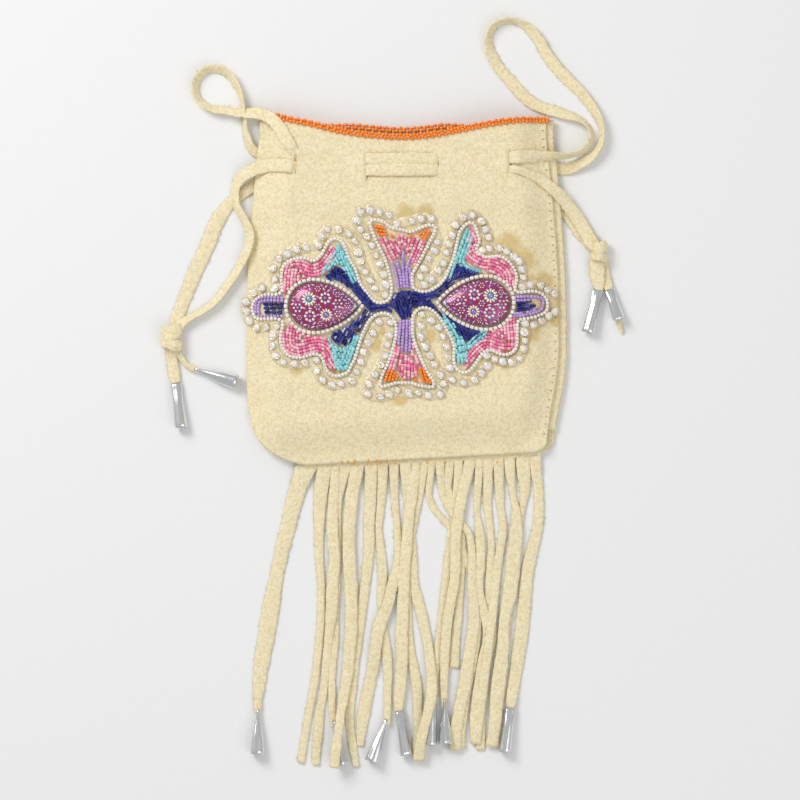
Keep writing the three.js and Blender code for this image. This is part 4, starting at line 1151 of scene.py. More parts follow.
def skin_mesh(stones):
    """Back, left fold and front as one sheet, with the slits cut."""
    rules = panel_columns()
    columns = len(rules)
    wide = 2 * columns + FOLD_STEPS - 1
    tall = round(150 / SKIN_STEP)
    mesh = bmesh.new()
    stain = mesh.verts.layers.float.new("stain")
    bmesh.ops.create_grid(mesh, x_segments=wide - 1, y_segments=tall, size=0.5)
    cuts = {}
    for v in mesh.verts:
        i, share = round((v.co.x + 0.5) * (wide - 1)), v.co.y + 0.5
        if i < columns:
            rule = rules[columns - 1 - i]
            v.co = skin_point(rule, share, False)
        elif i < columns + FOLD_STEPS - 1:
            rule = None
            v.co = fold_point(share, (i - columns + 1) / FOLD_STEPS)
        else:
            rule = rules[i - columns - FOLD_STEPS + 1]
            v.co = skin_point(rule, share, True)
            nearest = min(math.hypot(v.co.x - x, v.co.y - y) for x, y in stones)
            pools = max(1.1 - math.hypot(v.co.x - x, v.co.y - y) / (1.6 * far) for (x, y), far in STAINS)
            v[stain] = max(0.0, 0.62 - nearest / 8, pools)
        if rule and rule[0] == "at":
            cuts.setdefault((rule[1], i >= columns), []).append(v)
    for slit_x, low, high, _ in SLITS:
        for front in (False, True):
            cut_slit(mesh, cuts[(slit_x, front)], low, high)
    bmesh.ops.recalc_face_normals(mesh, faces=mesh.faces)
    return mesh


def cut_slit(mesh, line, low, high):
    """Splits the sheet along a column and draws the two lips apart."""
    line = set(line)
    edges = [e for e in mesh.edges
             if all(v in line and low - 0.6 < v.co.y < high + 0.6 for v in e.verts)]
    split = bmesh.ops.split_edges(mesh, edges=edges)["edges"]
    for v in {v for e in split for v in e.verts}:
        if len(v.link_faces) > 2:
            continue
        side = sum(f.calc_center_median().x for f in v.link_faces) / len(v.link_faces) - v.co.x
        open_share = math.sin(math.pi * min(1.0, max(0.0, (v.co.y - low) / (high - low))))
        v.co.x += math.copysign(SLIT_GAPE / 2 * open_share * 0.55, side)


# Fringe: each strand from its root down, as y, x and width in pixels of the photograph, and the
# layer where it isn't 0. A layer is how many strands it lies on.
FRINGE_STRANDS_PX = [
    [(466, 306.7, 20.6), (480, 301, 18.5), (493, 296.5, 17), (525, 288.8, 15), (557, 280.6, 14),
     (580, 276, 13.5), (600, 272.3, 16), (626, 267.9, 17), (655, 263, 15.4), (680, 259.6, 13),
     (700, 258, 8, 0.6), (713, 258, 6, 1)],
    [(466, 324.3, 14.6), (498, 320.3, 13.4), (531, 319.2, 10), (558, 319.5, 8), (585, 321.3, 7.8),
     (620, 321, 7.6), (655, 317.7, 7.4), (682, 314.8, 7.4), (716, 308.3, 7.6), (740, 304.6, 7.4),
     (763, 301, 7)],
    [(466, 335.8, 8.6), (502, 333.4, 10.4, 0.4), (530, 332.6, 11.4, 1), (558, 334.6, 11, 1),
     (585, 332.4, 11.8, 1), (612, 331.5, 12, 1), (634, 329, 9, 0.6), (669, 325.6, 8), (692, 323.5, 8),
     (710, 320, 9), (733, 318.2, 10), (750, 316.4, 9), (765, 316, 7.4)],
    [(466, 345.5, 11), (482, 342, 9.4), (506, 338, 8), (560, 337.6, 7), (600, 336.6, 7), (617, 335.6, 7.4),
     (640, 335, 8), (657, 333.6, 7.6), (675, 332.2, 7), (692, 332, 7.6), (710, 332.4, 7, 0.6),
     (727, 334.4, 6, 1)],
    [(466, 357.4, 13.5), (490, 353, 13, 0.6), (506, 351, 12.8, 1), (526, 349.4, 12.6, 1),
     (547, 348.9, 13, 1), (569, 349.8, 13, 1), (589, 351, 13, 1), (628, 351, 12.6, 1), (657, 349, 12, 1),
     (673, 347.6, 11, 1), (697, 343.6, 10, 1.4), (709, 341.4, 9, 2.6), (724, 339.4, 8.6, 4),
     (749, 336.4, 9.4, 5), (767, 334.4, 9, 5)],
    [(468, 371.2, 13), (500, 370.2, 12), (526, 369, 11.4), (547, 369, 11), (575, 366.5, 10),
     (596, 363.5, 10), (620, 360.5, 10), (645, 357, 10), (662, 354.5, 9.6), (686, 352.5, 9),
     (720, 349.8, 8.6), (749, 353.4, 8), (767, 356.5, 6)],
    [(468, 383, 10.6), (500, 381.4, 8.6), (515, 380, 7.6), (530, 379, 7), (558, 381.6, 9.6),
     (575, 382.4, 10), (600, 381.6, 9), (625, 383, 9), (653, 386.5, 10.6), (669, 388, 9.6), (690, 388, 8),
     (709, 387.6, 7, 0.6), (725, 387, 6, 1)],
    [(468, 394, 10), (499, 394.7, 7.6), (537, 398, 7.6), (562, 398, 9, 0.5), (581, 393.5, 10.6, 1),
     (607, 387, 11.6, 1), (626, 379.6, 12.4, 1), (646, 375.8, 11.6, 1), (664, 373.5, 11.6, 0.6),
     (680, 370.6, 12), (697, 366.7, 12), (715, 363.4, 12), (731, 361.4, 10), (746, 360.5, 7)],
    [(468, 405.7, 11.4), (500, 408, 9), (524, 410.6, 7), (547, 413, 6.6), (585, 414.6, 9),
     (600, 418, 11.6), (634, 426, 9.6, 0.4), (669, 431, 10, 1.4), (692, 431.6, 11, 3), (709, 428.5, 10, 4),
     (725, 424.6, 10, 4.2), (743, 420.4, 10.6, 3.4), (760, 418.6, 11, 2)],
    [(466, 416, 9), (493, 412.5, 11, 0.6), (515, 409, 11, 1), (553, 406, 11, 1), (575, 404, 11, 1),
     (600, 403.3, 11.4, 1), (632, 402, 12.5, 1), (657, 402, 12, 1), (690, 400, 11.4, 1),
     (704, 398.7, 10, 0.9), (718, 399.6, 6, 1)],
    [(466, 424.3, 7.4), (493, 420, 7.4), (515, 415.6, 7.4), (536, 411, 7.6), (560, 408, 8), (600, 407, 8),
     (646, 410, 8.6), (671, 414.5, 10), (690, 417, 10, 0.3), (726, 418, 8, 1), (744, 417, 8, 1),
     (758, 416.6, 8, 1)],
    [(466, 431.6, 7), (491, 428.6, 6.6), (499, 430, 6.4), (508, 433.6, 6.4), (517, 441, 6.4),
     (526, 449, 6.4), (545, 461, 6.6), (570, 470, 7), (600, 476.6, 9, 0.4), (632, 476, 9.6, 0.6),
     (664, 472, 9.6, 0.6), (690, 466, 10, 0.6), (724, 461.6, 9, 0.6), (748, 460, 9, 0.6)],
    [(466, 440, 9), (491, 442, 7), (504, 446.5, 7), (516, 454, 7, 0.3), (530, 467, 7, 0.6),
     (548, 471.6, 7.6, 1), (580, 472, 9, 1), (611, 474, 11, 1.2), (634, 472.5, 11.6, 1.2),
     (657, 469, 12, 1.2), (680, 465.5, 12.5, 1.2), (700, 461.5, 12, 1.2), (724, 457, 11.6, 1.2),
     (750, 454.6, 11.4, 1.2)],
    [(466, 449.5, 9), (482, 448, 7.6), (491, 448.5, 7.2), (503, 452.6, 7), (516, 458, 7), (540, 462, 7.4),
     (580, 460.6, 8), (620, 457.6, 9), (645, 455, 10), (668, 454, 10.3)],
    [(466, 458.5, 8.6), (500, 456, 8), (540, 450.6, 8), (580, 446, 8), (620, 441.6, 8), (660, 437, 8),
     (690, 433, 7, 0.4), (710, 431.6, 6, 1)],
    [(466, 469, 11), (488, 464, 10.8, 0.6), (504, 460.5, 10.8, 1.2), (537, 455.8, 10.6, 1.2),
     (575, 455, 10.4, 1.2), (600, 451, 10.2, 1.2), (620, 447.6, 10, 1.2), (644, 445.4, 9.8, 1.2),
     (664, 444.6, 9, 1), (686, 444, 7.6, 0.8), (698, 444, 6.6, 0.9), (708, 444.2, 6, 1)],
    [(466, 479, 8), (499, 477, 7.4), (515, 477.3, 6.4), (537, 480, 9.8, 0.3), (564, 480, 9.8, 0.6),
     (591, 479, 9, 0.8), (632, 487.6, 9, 1), (664, 481.6, 9.4, 1), (709, 475.6, 10, 0.6),
     (732, 475, 10, 0.4), (744, 475.4, 10, 0.4)],
    [(466, 488, 10.5), (504, 487.6, 8.4), (526, 490, 7), (547, 491.3, 7), (564, 490.4, 8), (602, 489, 9),
     (632, 492, 10), (664, 486, 10.6), (709, 480.6, 11), (732, 480, 10.6), (750, 480.6, 9)],
    [(466, 498.7, 10.6), (502, 500, 8.4), (517, 502, 7.8), (531, 503, 8), (554, 499.5, 9), (575, 496.5, 9),
     (600, 494, 9, 0.3), (640, 489, 9, 1.6), (690, 483, 9, 1.2), (720, 479, 9, 0.8), (744, 476, 9, 0.8)],
    [(466, 509.7, 11), (496, 513, 6.6), (509, 516, 8, 0.6), (526, 516.5, 12, 1), (553, 514, 14, 1),
     (591, 510, 14, 1), (620, 504.5, 11, 1), (645, 503, 12, 1), (671, 500, 14, 1), (692, 497.3, 13.4, 1),
     (715, 495.7, 12.6, 1), (747, 492, 12.6, 1)],
    [(466, 523, 14), (488, 525, 11), (504, 523, 7), (515, 521, 7), (540, 517, 9), (580, 512, 10),
     (620, 507, 10), (660, 503, 10), (700, 499.4, 10), (740, 496, 9)],
    [(466, 535.5, 11), (482, 537.6, 10), (502, 539, 10), (517, 538.7, 10.4), (532, 536.6, 11),
     (547, 532.8, 12), (572, 527.4, 12.6), (591, 525.5, 13), (620, 523, 13.6), (646, 519.6, 13.4),
     (664, 517, 12.7), (683, 514, 12), (699, 511.4, 10.6, 0.8), (712, 510.6, 6, 1)]]
FRINGE_CONES = {
    "fringe_cone_1": ((-63.7, -182.1), (-64.1, -201.6), -1.0, 2.0),
    "fringe_cone_2": ((-30.8, -187.1), (-27.1, -206.2), -0.7, 1.2),
    "fringe_cone_3": ((-8.1, -186.5), (-14.2, -205.0), -1.0, 2.5),
    "fringe_cone_4": ((-2.3, -182.9), (0.6, -202.2), 0.9, 1.8),
    "fringe_cone_5": ((11.9, -178.4), (11.1, -197.9), 0.6, 2.7),
    "fringe_cone_6": ((17.2, -177.7), (17.7, -197.2), -1.0, 1.4),
    "fringe_cone_7": ((46.1, -181.5), (43.4, -200.8), 0.9, 2.1)}
FRINGE_THICKNESS = 1.05
FRINGE_LAYER = 1.2


HEADER_HEIGHT = 0.9  # of the fringe's uncut strip, above the back
HEADER_WIDTH = 6.6
HEADER_LENGTH = 108
STRAND_IN_SEAM = 3
# Ochre stitches that show in the seam: x and length
SEAM_STITCHES_PX = [
    (342, 3), (348, 4), (354.7, 7), (368, 8), (377, 7), (381, 5), (387.6, 8), (395.6, 6), (427, 4),
    (446, 3), (497, 4)]
SEAM_STITCHES_Y_PX = 463


def strand_line(rows):
    """A strand from its root at the seam to its end, as a strip's points."""
    _, root_x, root_width = rows[0][:3]
    x, _ = spot((root_x, 0))
    seam = bottom_edge(x)
    header = back_top(seam) + HEADER_HEIGHT
    line = [(x, seam + STRAND_IN_SEAM, header, root_width * MM_PER_PX * 1.02, 0)]
    for down, across, width, *layer in rows:
        x, y = spot((across, down))
        table = FRINGE_THICKNESS / 2 + 0.08 + sum(layer) * FRINGE_LAYER
        share = ramp(seam - y, 0, 16)
        line.append((x, y, header + (table - header) * share, width * MM_PER_PX, 0))
    return line


# Flower: lines read off the photograph, in its pixels

OUTLINE_PX = [
    (400, 230), (411, 232.5), (421, 228), (430, 225.6), (435, 228), (434, 233.6), (430, 242), (425.6, 250),
    (421, 259), (416, 268), (412, 275), (412, 282), (414, 289), (422, 292), (430, 291), (438, 286),
    (444, 280), (448.6, 270), (452.6, 261), (455, 252), (457, 243), (459, 234), (463.5, 227), (470, 223),
    (475, 227), (477, 234), (479, 242), (476, 250), (479.6, 255), (488, 258), (496, 256.6), (504, 259),
    (510.6, 265), (515, 273), (516, 282), (514, 290), (520, 293), (529, 291.6), (538, 293), (544, 298),
    (546, 305), (544, 312), (537, 316), (528, 318.6), (518, 321), (516.6, 333), (516.6, 342), (514.5, 350),
    (507, 354.7), (498, 353.6), (489.5, 350), (483, 352.6), (477.6, 360), (472, 368), (467, 372),
    (460, 372), (455, 367), (453.5, 359), (454, 349), (452, 340), (448, 333), (442, 322), (434, 312),
    (425, 308), (417.6, 310), (413, 316), (412.5, 325), (412.5, 334), (415, 344), (419, 354), (423, 363),
    (428, 373.5), (433, 381), (433, 386.7), (426, 386.7), (419, 385.6), (411, 383), (403, 383), (395, 383),
    (387, 385.6), (380, 386), (382, 376), (387, 366), (391, 355.6), (394, 345), (396, 335), (396, 325),
    (392, 317), (384, 313.5), (377, 315), (370, 320), (365, 329), (361, 339), (358, 349), (355, 359),
    (351, 366), (348, 372), (340, 375.5), (333, 375.5), (327, 370), (324, 362), (321, 356), (314.5, 354),
    (306, 356.6), (298, 357.7), (289, 355.6), (284, 349), (281, 341), (282, 332), (283, 322), (276, 319),
    (266.5, 319), (259, 319), (255, 315), (253, 308), (255, 302), (259, 298.5), (267, 295), (277, 295),
    (283, 291), (282, 282), (283, 270), (287.5, 263), (297, 259), (306, 259), (314.6, 261.6), (322, 255),
    (326.5, 246), (332, 240), (338.5, 240), (344, 245), (347, 253), (350, 260.5), (355, 269), (358, 277),
    (361, 285), (368, 294), (375, 302), (383, 303), (389, 299.5), (391.6, 292), (390.5, 280), (388, 269),
    (385, 259), (381, 251), (376, 241), (372, 231), (370, 224), (374, 220), (384, 222.5), (390.5, 228),
    (400, 230)]
STONES_PX = [
    (246, 302), (247, 311), (254, 293), (264, 288), (276, 289), (276, 279.5), (274.5, 269), (280, 259),
    (287.5, 254), (297, 250), (306.5, 248.6), (319, 246), (322, 237), (327.6, 230), (339, 230),
    (349, 234.5), (355, 242), (358.5, 253), (361, 262), (365, 272), (370, 281), (375, 289), (384.6, 295),
    (386, 285), (383.5, 275), (380, 265), (376, 256), (372, 246), (367, 237), (361, 230), (357, 221),
    (361, 212), (370, 210.6), (380, 213), (389, 216), (396.5, 224.5), (412, 221.6), (421, 219), (431, 219),
    (437, 243), (434, 251), (428.5, 259), (424, 269), (420, 277), (424, 285), (431, 280), (438, 271),
    (443, 263.5), (446, 253), (448.6, 244.5), (452, 236), (455, 226), (462, 218), (472, 215.6), (481, 222),
    (485, 230), (488, 238), (482, 251), (489, 249), (498.5, 249), (506, 252), (513, 257), (518.6, 262),
    (521, 270), (522.6, 278), (521.5, 287), (529, 285), (539, 286), (546, 290), (553, 294.5), (554, 312),
    (547, 316), (540, 321), (532, 325), (524, 324), (524, 332.5), (524, 341), (523, 349), (519, 358.5),
    (511, 362), (502.5, 362), (494, 359), (486, 356), (487, 366), (481, 373), (474, 380), (463, 383),
    (452, 380), (449.5, 368), (448, 357.5), (446, 347), (443, 337), (438.6, 327.6), (431, 321), (422, 315),
    (421, 326), (421, 337), (424.6, 347), (430, 356), (434, 364.5), (440, 375), (443, 384), (440, 394),
    (428, 395), (418, 393), (409, 393), (398, 390), (389, 394), (380, 397), (368, 394), (369, 384),
    (375, 374.5), (381, 365), (385, 355.6), (387, 345), (389, 336), (390.5, 323), (379, 322), (373, 333),
    (367.6, 343), (364, 352), (361, 362), (357, 372), (352, 381), (341.5, 384), (332, 385), (323, 380),
    (317.6, 371), (316.5, 360), (305, 363), (295, 364), (284, 362), (277, 356), (274, 346), (274, 336),
    (278, 326.5), (268, 327), (258, 328), (250, 321)]
STONE_SIZES = (1.08, 1.2, 1.25, 1.34)
GLUE_PITCH = 1.05
# Sections of a setting, a stone and a bugle one long and one wide, as radius and height
CUP_PROFILE = [(1.0, -0.35), (1.42, -0.3), (1.5, 0.3), (1.42, 0.72), (1.26, 0.84), (1.16, 0.6), (1.0, 0.1)]
STONE_PROFILE = [(0.05, -0.3), (1.22, -0.3), (1.22, 0.0), (0.92, 0.27), (0.5, 0.4), (0.05, 0.4)]
BUGLE_PROFILE = [(0.14, -0.5), (0.36, -0.5), (0.5, -0.45), (0.5, 0.45), (0.36, 0.5), (0.14, 0.5)]
BUGLE_LIFT = 0.95
FIELD_BUGLE_LIFT = 0.7
# Navy bugles: the x of one end, its y, and the x and y of the other end
NAVY_PX = [
    (326.5, 275.5, 329, 279), (329, 274, 332.4, 277.6), (332.4, 271.8, 335.5, 277.6),
    (335.5, 269.7, 338.7, 279.7), (339.2, 268, 341.3, 274.5), (340.3, 274.5, 344, 279.7),
    (346, 274, 350.3, 284), (343, 278.7, 348.7, 288), (348.7, 280.8, 351.3, 287),
    (354.5, 288, 358.7, 296.6), (356.6, 284, 364, 294.5), (358.7, 295.5, 361.8, 300.8),
    (361.8, 293.4, 367, 300.8), (363, 300.8, 369, 309), (366, 296.6, 374.5, 306), (368, 308, 375.5, 306),
    (366, 310, 362, 318), (368, 316.6, 361, 326), (359.7, 317.6, 356.6, 326), (358.7, 326, 354.5, 334.5),
    (361.8, 325, 358, 332.4), (354.5, 320.8, 350.3, 330.3), (351.3, 326, 346, 336.6),
    (353.4, 334.5, 350.3, 343), (346, 328, 339.7, 338.7), (344, 336.6, 338.7, 346),
    (340.8, 330.3, 336.6, 336.6), (335.5, 332.4, 332.4, 339.7), (332.4, 336.6, 336.6, 343),
    (391.3, 305, 396.6, 294.5), (395.5, 309, 403, 319.7), (399.7, 292.4, 403, 303),
    (402.5, 290.8, 402, 299.5), (407.5, 294.6, 406.8, 304.5), (411.8, 292, 407.5, 299.5),
    (400, 308, 402.5, 318), (408.7, 308, 410.6, 317.6), (396.6, 297, 399, 306), (394, 304, 397, 312),
    (411, 300, 410, 308), (404, 302, 405.6, 312), (404.6, 310, 406.6, 318.6), (442.9, 284.6, 447.9, 278.4),
    (446, 286.5, 451, 279.6), (449.8, 284.6, 454.7, 274.7), (454.7, 278.4, 456, 268.4),
    (457.2, 277, 462.2, 267.2), (461, 277, 463.4, 269.7), (464.7, 277, 467.8, 269),
    (467.8, 276.5, 471.5, 270.3), (471.5, 274, 474.6, 272), (475.2, 275.3, 477.7, 272.8),
    (438.6, 312, 442.9, 317.6), (449.8, 320.7, 461, 336.8), (454.7, 324.4, 462.2, 336.8),
    (461, 328, 467.2, 340), (464.7, 327.5, 468.4, 338.7), (468.4, 329.4, 473.4, 336.8),
    (473.4, 339.3, 479.6, 331.9), (469.7, 338.7, 474.6, 330.6), (265, 304.5, 285, 305),
    (265, 308.5, 284, 308.5), (266, 312.5, 283.5, 313), (516, 304.5, 530.6, 301.4),
    (516.6, 307.6, 534.5, 306), (516, 311, 530, 309)]
NAVY_STEMS_PX = [
    [(375.5, 306.5), (392, 305.5)], [(370, 311), (385, 309), (392.5, 312)],
    [(413.7, 293.3), (422.4, 296.4), (432.3, 294.6), (443.5, 287)],
    [(413.7, 299.5), (424.9, 300), (436, 296.4)],
    [(412.4, 307), (423.6, 303.3), (432.3, 305.7), (437.3, 312)]]
TURQUOISE_PX = {
    "turquoise_upper_left": [
        [(337.6, 246), (344, 256.6)], [(336.6, 251.3), (329.2, 261.8), (321.8, 275.5)],
        [(339.7, 253.4), (334.5, 261.8), (328.2, 270.3)], [(345, 258.7), (350.3, 269.2), (356.6, 281.8)],
        [(341.4, 256), (347.6, 270.3), (353, 283.4)]],
    "turquoise_lower_left": [
        [(328.2, 338.7), (334.5, 349.2), (336.6, 360.8), (344, 370.3)],
        [(332.4, 352), (335, 362), (339.7, 371)],
        [(358.7, 335.5), (354.5, 346), (349.2, 360.8), (345.6, 370.3)],
        [(355.2, 335.6), (350.8, 348.4), (346, 360.8)], [(348.6, 345), (343.4, 357.7), (340.8, 366)]],
    "turquoise_upper_right": [
        [(467.2, 229.9), (462.2, 242.3), (456, 259.7), (449.8, 278.4)],
        [(469.7, 233.6), (464.9, 246), (459.7, 259.7)], [(472, 238.6), (468, 247), (462.6, 261)],
        [(462.2, 261), (467.2, 267.2), (480.8, 272.2)]],
    "turquoise_lower_right": [
        [(442.3, 314.5), (449.8, 324.4), (458.2, 339.3), (460.4, 351.8)],
        [(452.2, 323.2), (461.8, 339), (464, 351.8)], [(458.6, 353), (458.2, 364.2)],
        [(462, 353), (462, 363)], [(465.8, 353), (465.3, 361.7)], [(467.6, 349), (477, 340), (487, 332.4)],
        [(467.2, 344.8), (474.6, 337.2), (484.6, 330)]]}
LAVENDER_PX = {
    "lavender_upper_stem": [
        [(392.4, 264), (396.6, 277.6), (398.4, 290)], [(396.4, 260), (400.2, 275), (401.6, 289)],
        [(403.6, 252), (402.6, 264), (404.6, 288)], [(411, 258), (406.6, 268), (407.6, 288)],
        [(409.4, 268), (410.6, 280), (411, 289)]],
    "lavender_lower_stem": [
        [(400.6, 321), (399, 337), (398.6, 345)], [(403.8, 320), (403, 335), (401.8, 352)],
        [(407, 320), (406.6, 336), (405.8, 353)], [(410, 320), (410, 336), (409.6, 352)]],
    "lavender_left_tip": [
        [(284, 301.2), (264, 301), (260, 305), (260, 312.6), (264, 316.6), (284, 316.4)],
        [(284, 298.4), (262, 298), (257, 304), (257, 313.6)]],
    "lavender_right_tip": [
        [(513, 297.6), (530, 297), (540, 298.6), (541.6, 305), (538, 311), (526, 315), (512, 317)],
        [(513, 301), (529, 300.6)], [(534, 310), (524, 313), (513, 314)]]}
ORANGE_PX = {
    "orange_upper_left": [
        [(374.4, 227), (384.4, 228.6)], [(375.6, 230.6), (386, 232)], [(378, 234.4), (387, 235.4)],
        [(390, 235.6), (394, 237.6)]],
    "orange_upper_right": [
        [(408.6, 236.6), (412.6, 236.8)], [(418, 234.4), (422, 235.2)], [(429.2, 231), (423.6, 241)],
        [(426.2, 230.6), (421.6, 239)]],
    "orange_lower_left": [
        [(385, 381.6), (389, 370)], [(388.6, 381.8), (392.4, 370.3)], [(392.2, 381.4), (395.2, 372)],
        [(395.8, 380.8), (397.6, 375)], [(402, 379), (405, 378.4)]],
    "orange_lower_right": [
        [(419.4, 368.4), (423.6, 382.4)], [(422.8, 367.4), (427.2, 383)], [(426, 372), (430.4, 384)],
        [(413.6, 379.6), (417, 380.4)]]}
PINK_LEAVES_PX = {
    "pink_upper_leaf": [
        [(380.8, 238.7), (386, 251.3), (392.4, 264)], [(384, 236.8), (389.6, 248.8), (395.4, 260)],
        [(387.4, 238.6), (393, 248), (398.6, 258)], [(392.6, 239.6), (397, 248.2), (401, 255)],
        [(398, 235.6), (400, 248)], [(401.8, 234.9), (402.4, 250)], [(405.4, 236.6), (404.8, 250)],
        [(409.3, 240), (406.8, 254)], [(414, 237.6), (408, 257)], [(418.4, 238.6), (409.6, 260)],
        [(421.6, 241.4), (411.6, 264)], [(424.4, 242.6), (413.8, 266.6)]],
    "pink_lower_leaf": [
        [(396.6, 346), (392.6, 360.8), (389.4, 370)], [(399.2, 347), (395.8, 360.8), (393, 370.3)],
        [(401.8, 354), (398.7, 371.3)], [(403.6, 355), (401.4, 376)], [(406, 355), (404.6, 379)],
        [(408.8, 355), (408.6, 380)], [(411, 354), (412.6, 378)], [(411.8, 350), (416.2, 376.6)],
        [(412.8, 343), (415.6, 357), (420.5, 369)]]}
PINK_WINGS_PX = {
    "pink_upper_left": (
        [(285, 294), (286, 275), (290, 263), (304, 262), (312, 266), (321, 263), (328, 254), (334, 244)],
        [(337, 242), (333, 262), (324, 273), (312, 279), (300, 281), (294, 289), (285, 294), (284, 275),
         (289, 261), (304, 260), (312, 264), (320, 262), (328, 252)]),
    "pink_lower_left": (
        [(286, 325), (284, 339), (287, 350), (297, 355), (306, 354), (318, 351), (324, 354), (328, 364),
         (336, 373)],
        [(288, 324), (298, 330), (305, 335), (318, 338), (328, 338), (332, 351), (338, 373), (329, 368),
         (323, 355), (318, 352), (306, 356), (296, 357), (285, 352), (282, 339)]),
    "pink_upper_right": (
        [(467, 225), (476, 242), (472, 250), (482, 257.6), (494, 259), (506, 265), (512.6, 275),
         (512.6, 287)],
        [(469, 224), (478, 242), (474, 249), (482, 256), (494, 257.4), (507, 263), (514, 275), (514, 289),
         (500, 279), (484, 270), (470, 265), (463, 259), (468, 247)]),
    "pink_lower_right": (
        [(513, 318), (514.4, 349), (498, 351), (486.6, 347), (478, 353), (464, 369)],
        [(514, 316), (516, 350), (498, 353), (486.6, 349), (479, 355), (465, 371), (465, 356), (476, 345),
         (488, 334), (499, 327)])}
# Fields filled with bugles: a line that the rows follow, and the field's outline
NAVY_FIELDS_PX = [
    ([(331, 270), (345, 276), (356, 288), (366, 301), (376, 310)],
     [(325, 277), (333, 268), (342, 267), (351, 278), (360, 286), (368, 296), (378, 305), (376, 312),
      (368, 309), (358, 299), (350, 289), (341, 282), (330, 281)]),
    ([(370, 312), (362, 322), (352, 338), (345, 348)],
     [(376, 311), (366, 308), (360, 317), (352, 325), (342, 330), (333, 334), (331, 342), (337, 347),
      (346, 347), (354, 340), (360, 331), (366, 321), (372, 315)]),
    ([(396, 293), (399, 306), (404, 320)],
     [(391, 304), (396, 293), (403, 289), (411, 291), (414, 298), (414, 305), (411, 318), (404, 321),
      (398, 313), (391, 309)]),
    ([(412, 293), (424, 295), (436, 293), (447, 284)],
     [(412, 291), (424, 294), (436, 291), (446, 284), (450, 278), (456, 276), (452, 288), (442, 296),
      (430, 301), (438, 310), (436, 314), (424, 305), (412, 309)]),
    ([(447, 284), (455, 274), (466, 270), (477, 274)],
     [(443, 286), (450, 277), (456, 266), (463, 266), (472, 270), (480, 274), (474, 278), (460, 279),
      (450, 287)]),
    ([(441, 313), (452, 322), (464, 333), (476, 336)],
     [(437, 311), (444, 316), (456, 320), (470, 328), (482, 331), (476, 341), (466, 343), (458, 336),
      (448, 322), (438, 315)])]
TURQUOISE_FIELDS_PX = {
    "turquoise_upper_left": (
        [(338, 245), (345, 256), (357, 283)],
        [(337, 243), (343, 250), (350, 263), (358, 283), (353, 287), (345, 272), (340, 264), (333, 268),
         (322, 277), (321, 274), (329, 262)]),
    "turquoise_lower_left": (
        [(329, 339), (335, 352), (344, 372)],
        [(329, 340), (337, 347), (345, 348), (355, 338), (359, 333), (357, 346), (351, 362), (345, 373),
         (336, 368), (331, 352)]),
    "turquoise_upper_right": (
        [(468, 228), (457, 260), (449, 280)],
        [(469, 226), (474, 238), (467, 250), (463, 262), (470, 268), (481, 272), (476, 274), (466, 270),
         (458, 266), (450, 281), (447, 281), (455, 261), (461, 243)]),
    "turquoise_lower_right": (
        [(441, 314), (454, 338), (459, 364)],
        [(440, 313), (448, 320), (457, 336), (466, 345), (478, 341), (488, 331), (489, 334), (477, 346),
         (468, 352), (467, 364), (457, 365), (456, 352), (449, 331)])}
# Mouth edging: the x of its ends on the front and the back, and its two rows as outward and up
MOUTH_FRONT_X = (-58.8, 62.4)
MOUTH_BACK_X = (-58.8, 59.6)
EDGING_ROWS = ((-0.5, 0.0), (0.75, -0.55))
EDGING_LIFT = 0.35
EDGING_POINTS = 160

# Cabochons: middle, and which way the tip points along X
CABOCHONS = {"left": ((-35.1, -7.2), 1), "right": ((30.6, -5.7), -1)}
CABOCHON_HALF_LENGTH = 15.0
CABOCHON_HALF_WIDTH = 10.0
CABOCHON_WIDEST = 0.8215
CABOCHON_HEIGHT = 5.0
CABOCHON_GIRDLE = 1.3
# Metallised shades of the raised shapes, each as its place in the range and its colour
RELIEFS = {
    "gilt": [
        (0, (0.86, 0.8, 0.48)), (0.4, (0.9, 0.88, 0.7)), (0.7, (0.66, 0.84, 0.82)), (1, (0.9, 0.72, 0.6))],
    "violet": [(0, (0.2, 0.22, 0.66)), (0.6, (0.4, 0.22, 0.62)), (1, (0.16, 0.42, 0.62))],
    "opal": [
        (0, (0.82, 0.84, 0.78)), (0.35, (0.3, 0.62, 0.66)), (0.65, (0.5, 0.3, 0.7)),
        (1, (0.88, 0.82, 0.66))]}
# Ring of beads round a cabochon, and the outline of the flower: pitch and lift, then the bead's
# width and length
RING_GROW = 1.5
RING_STRING, RING_BEAD = (2.05, 1.15), (1.85, 1.8)
OUTLINE_STRING, OUTLINE_BEAD = (1.5, 0.95), (1.62, 1.36)
LEAF_MARK_ROWS = ((0.91, 44), (0.76, 34), (0.58, 24), (0.4, 14))  # how far out, and how many
# Raised shapes of a cabochon: kind, x towards the tip, y, and size
RAISED = [
    ("daisy", -6.4, 3.0, 3.3), ("daisy", 1.0, -3.9, 2.9), ("ring", 0.6, 3.4, 2.7),
    ("ring", -6.0, -4.4, 2.7), ("dots", 6.0, 1.0, 2.2), ("dots", -11.3, -0.8, 2.2),
    ("dots", 5.9, 4.9, 1.3), ("dots", -2.6, 7.4, 1.4), ("dots", 10.2, 0.2, 1.4), ("dots", -2.6, -0.4, 1.5),
    ("dots", 6.2, -3.4, 1.6), ("dots", -1.6, -7.6, 1.2), ("dots", -10.9, 4.4, 1.3),
    ("dots", -10.6, -5.0, 1.2)]


def teardrop(t, grow=0.0):
    """The cabochon's outline at t, from 0 at the tip to pi at the round end, tip towards +X."""
    wide = math.sin(abs(t)) * math.sin(abs(t) / 2) ** 0.7 / CABOCHON_WIDEST
    x = (CABOCHON_HALF_LENGTH + grow) * math.cos(t)
    return (x, math.copysign((CABOCHON_HALF_WIDTH + grow) * wide, t))


def cabochon_rise(share):
    return CABOCHON_GIRDLE + (CABOCHON_HEIGHT - CABOCHON_GIRDLE) * math.sqrt(max(0.0, 1 - share**2.3))


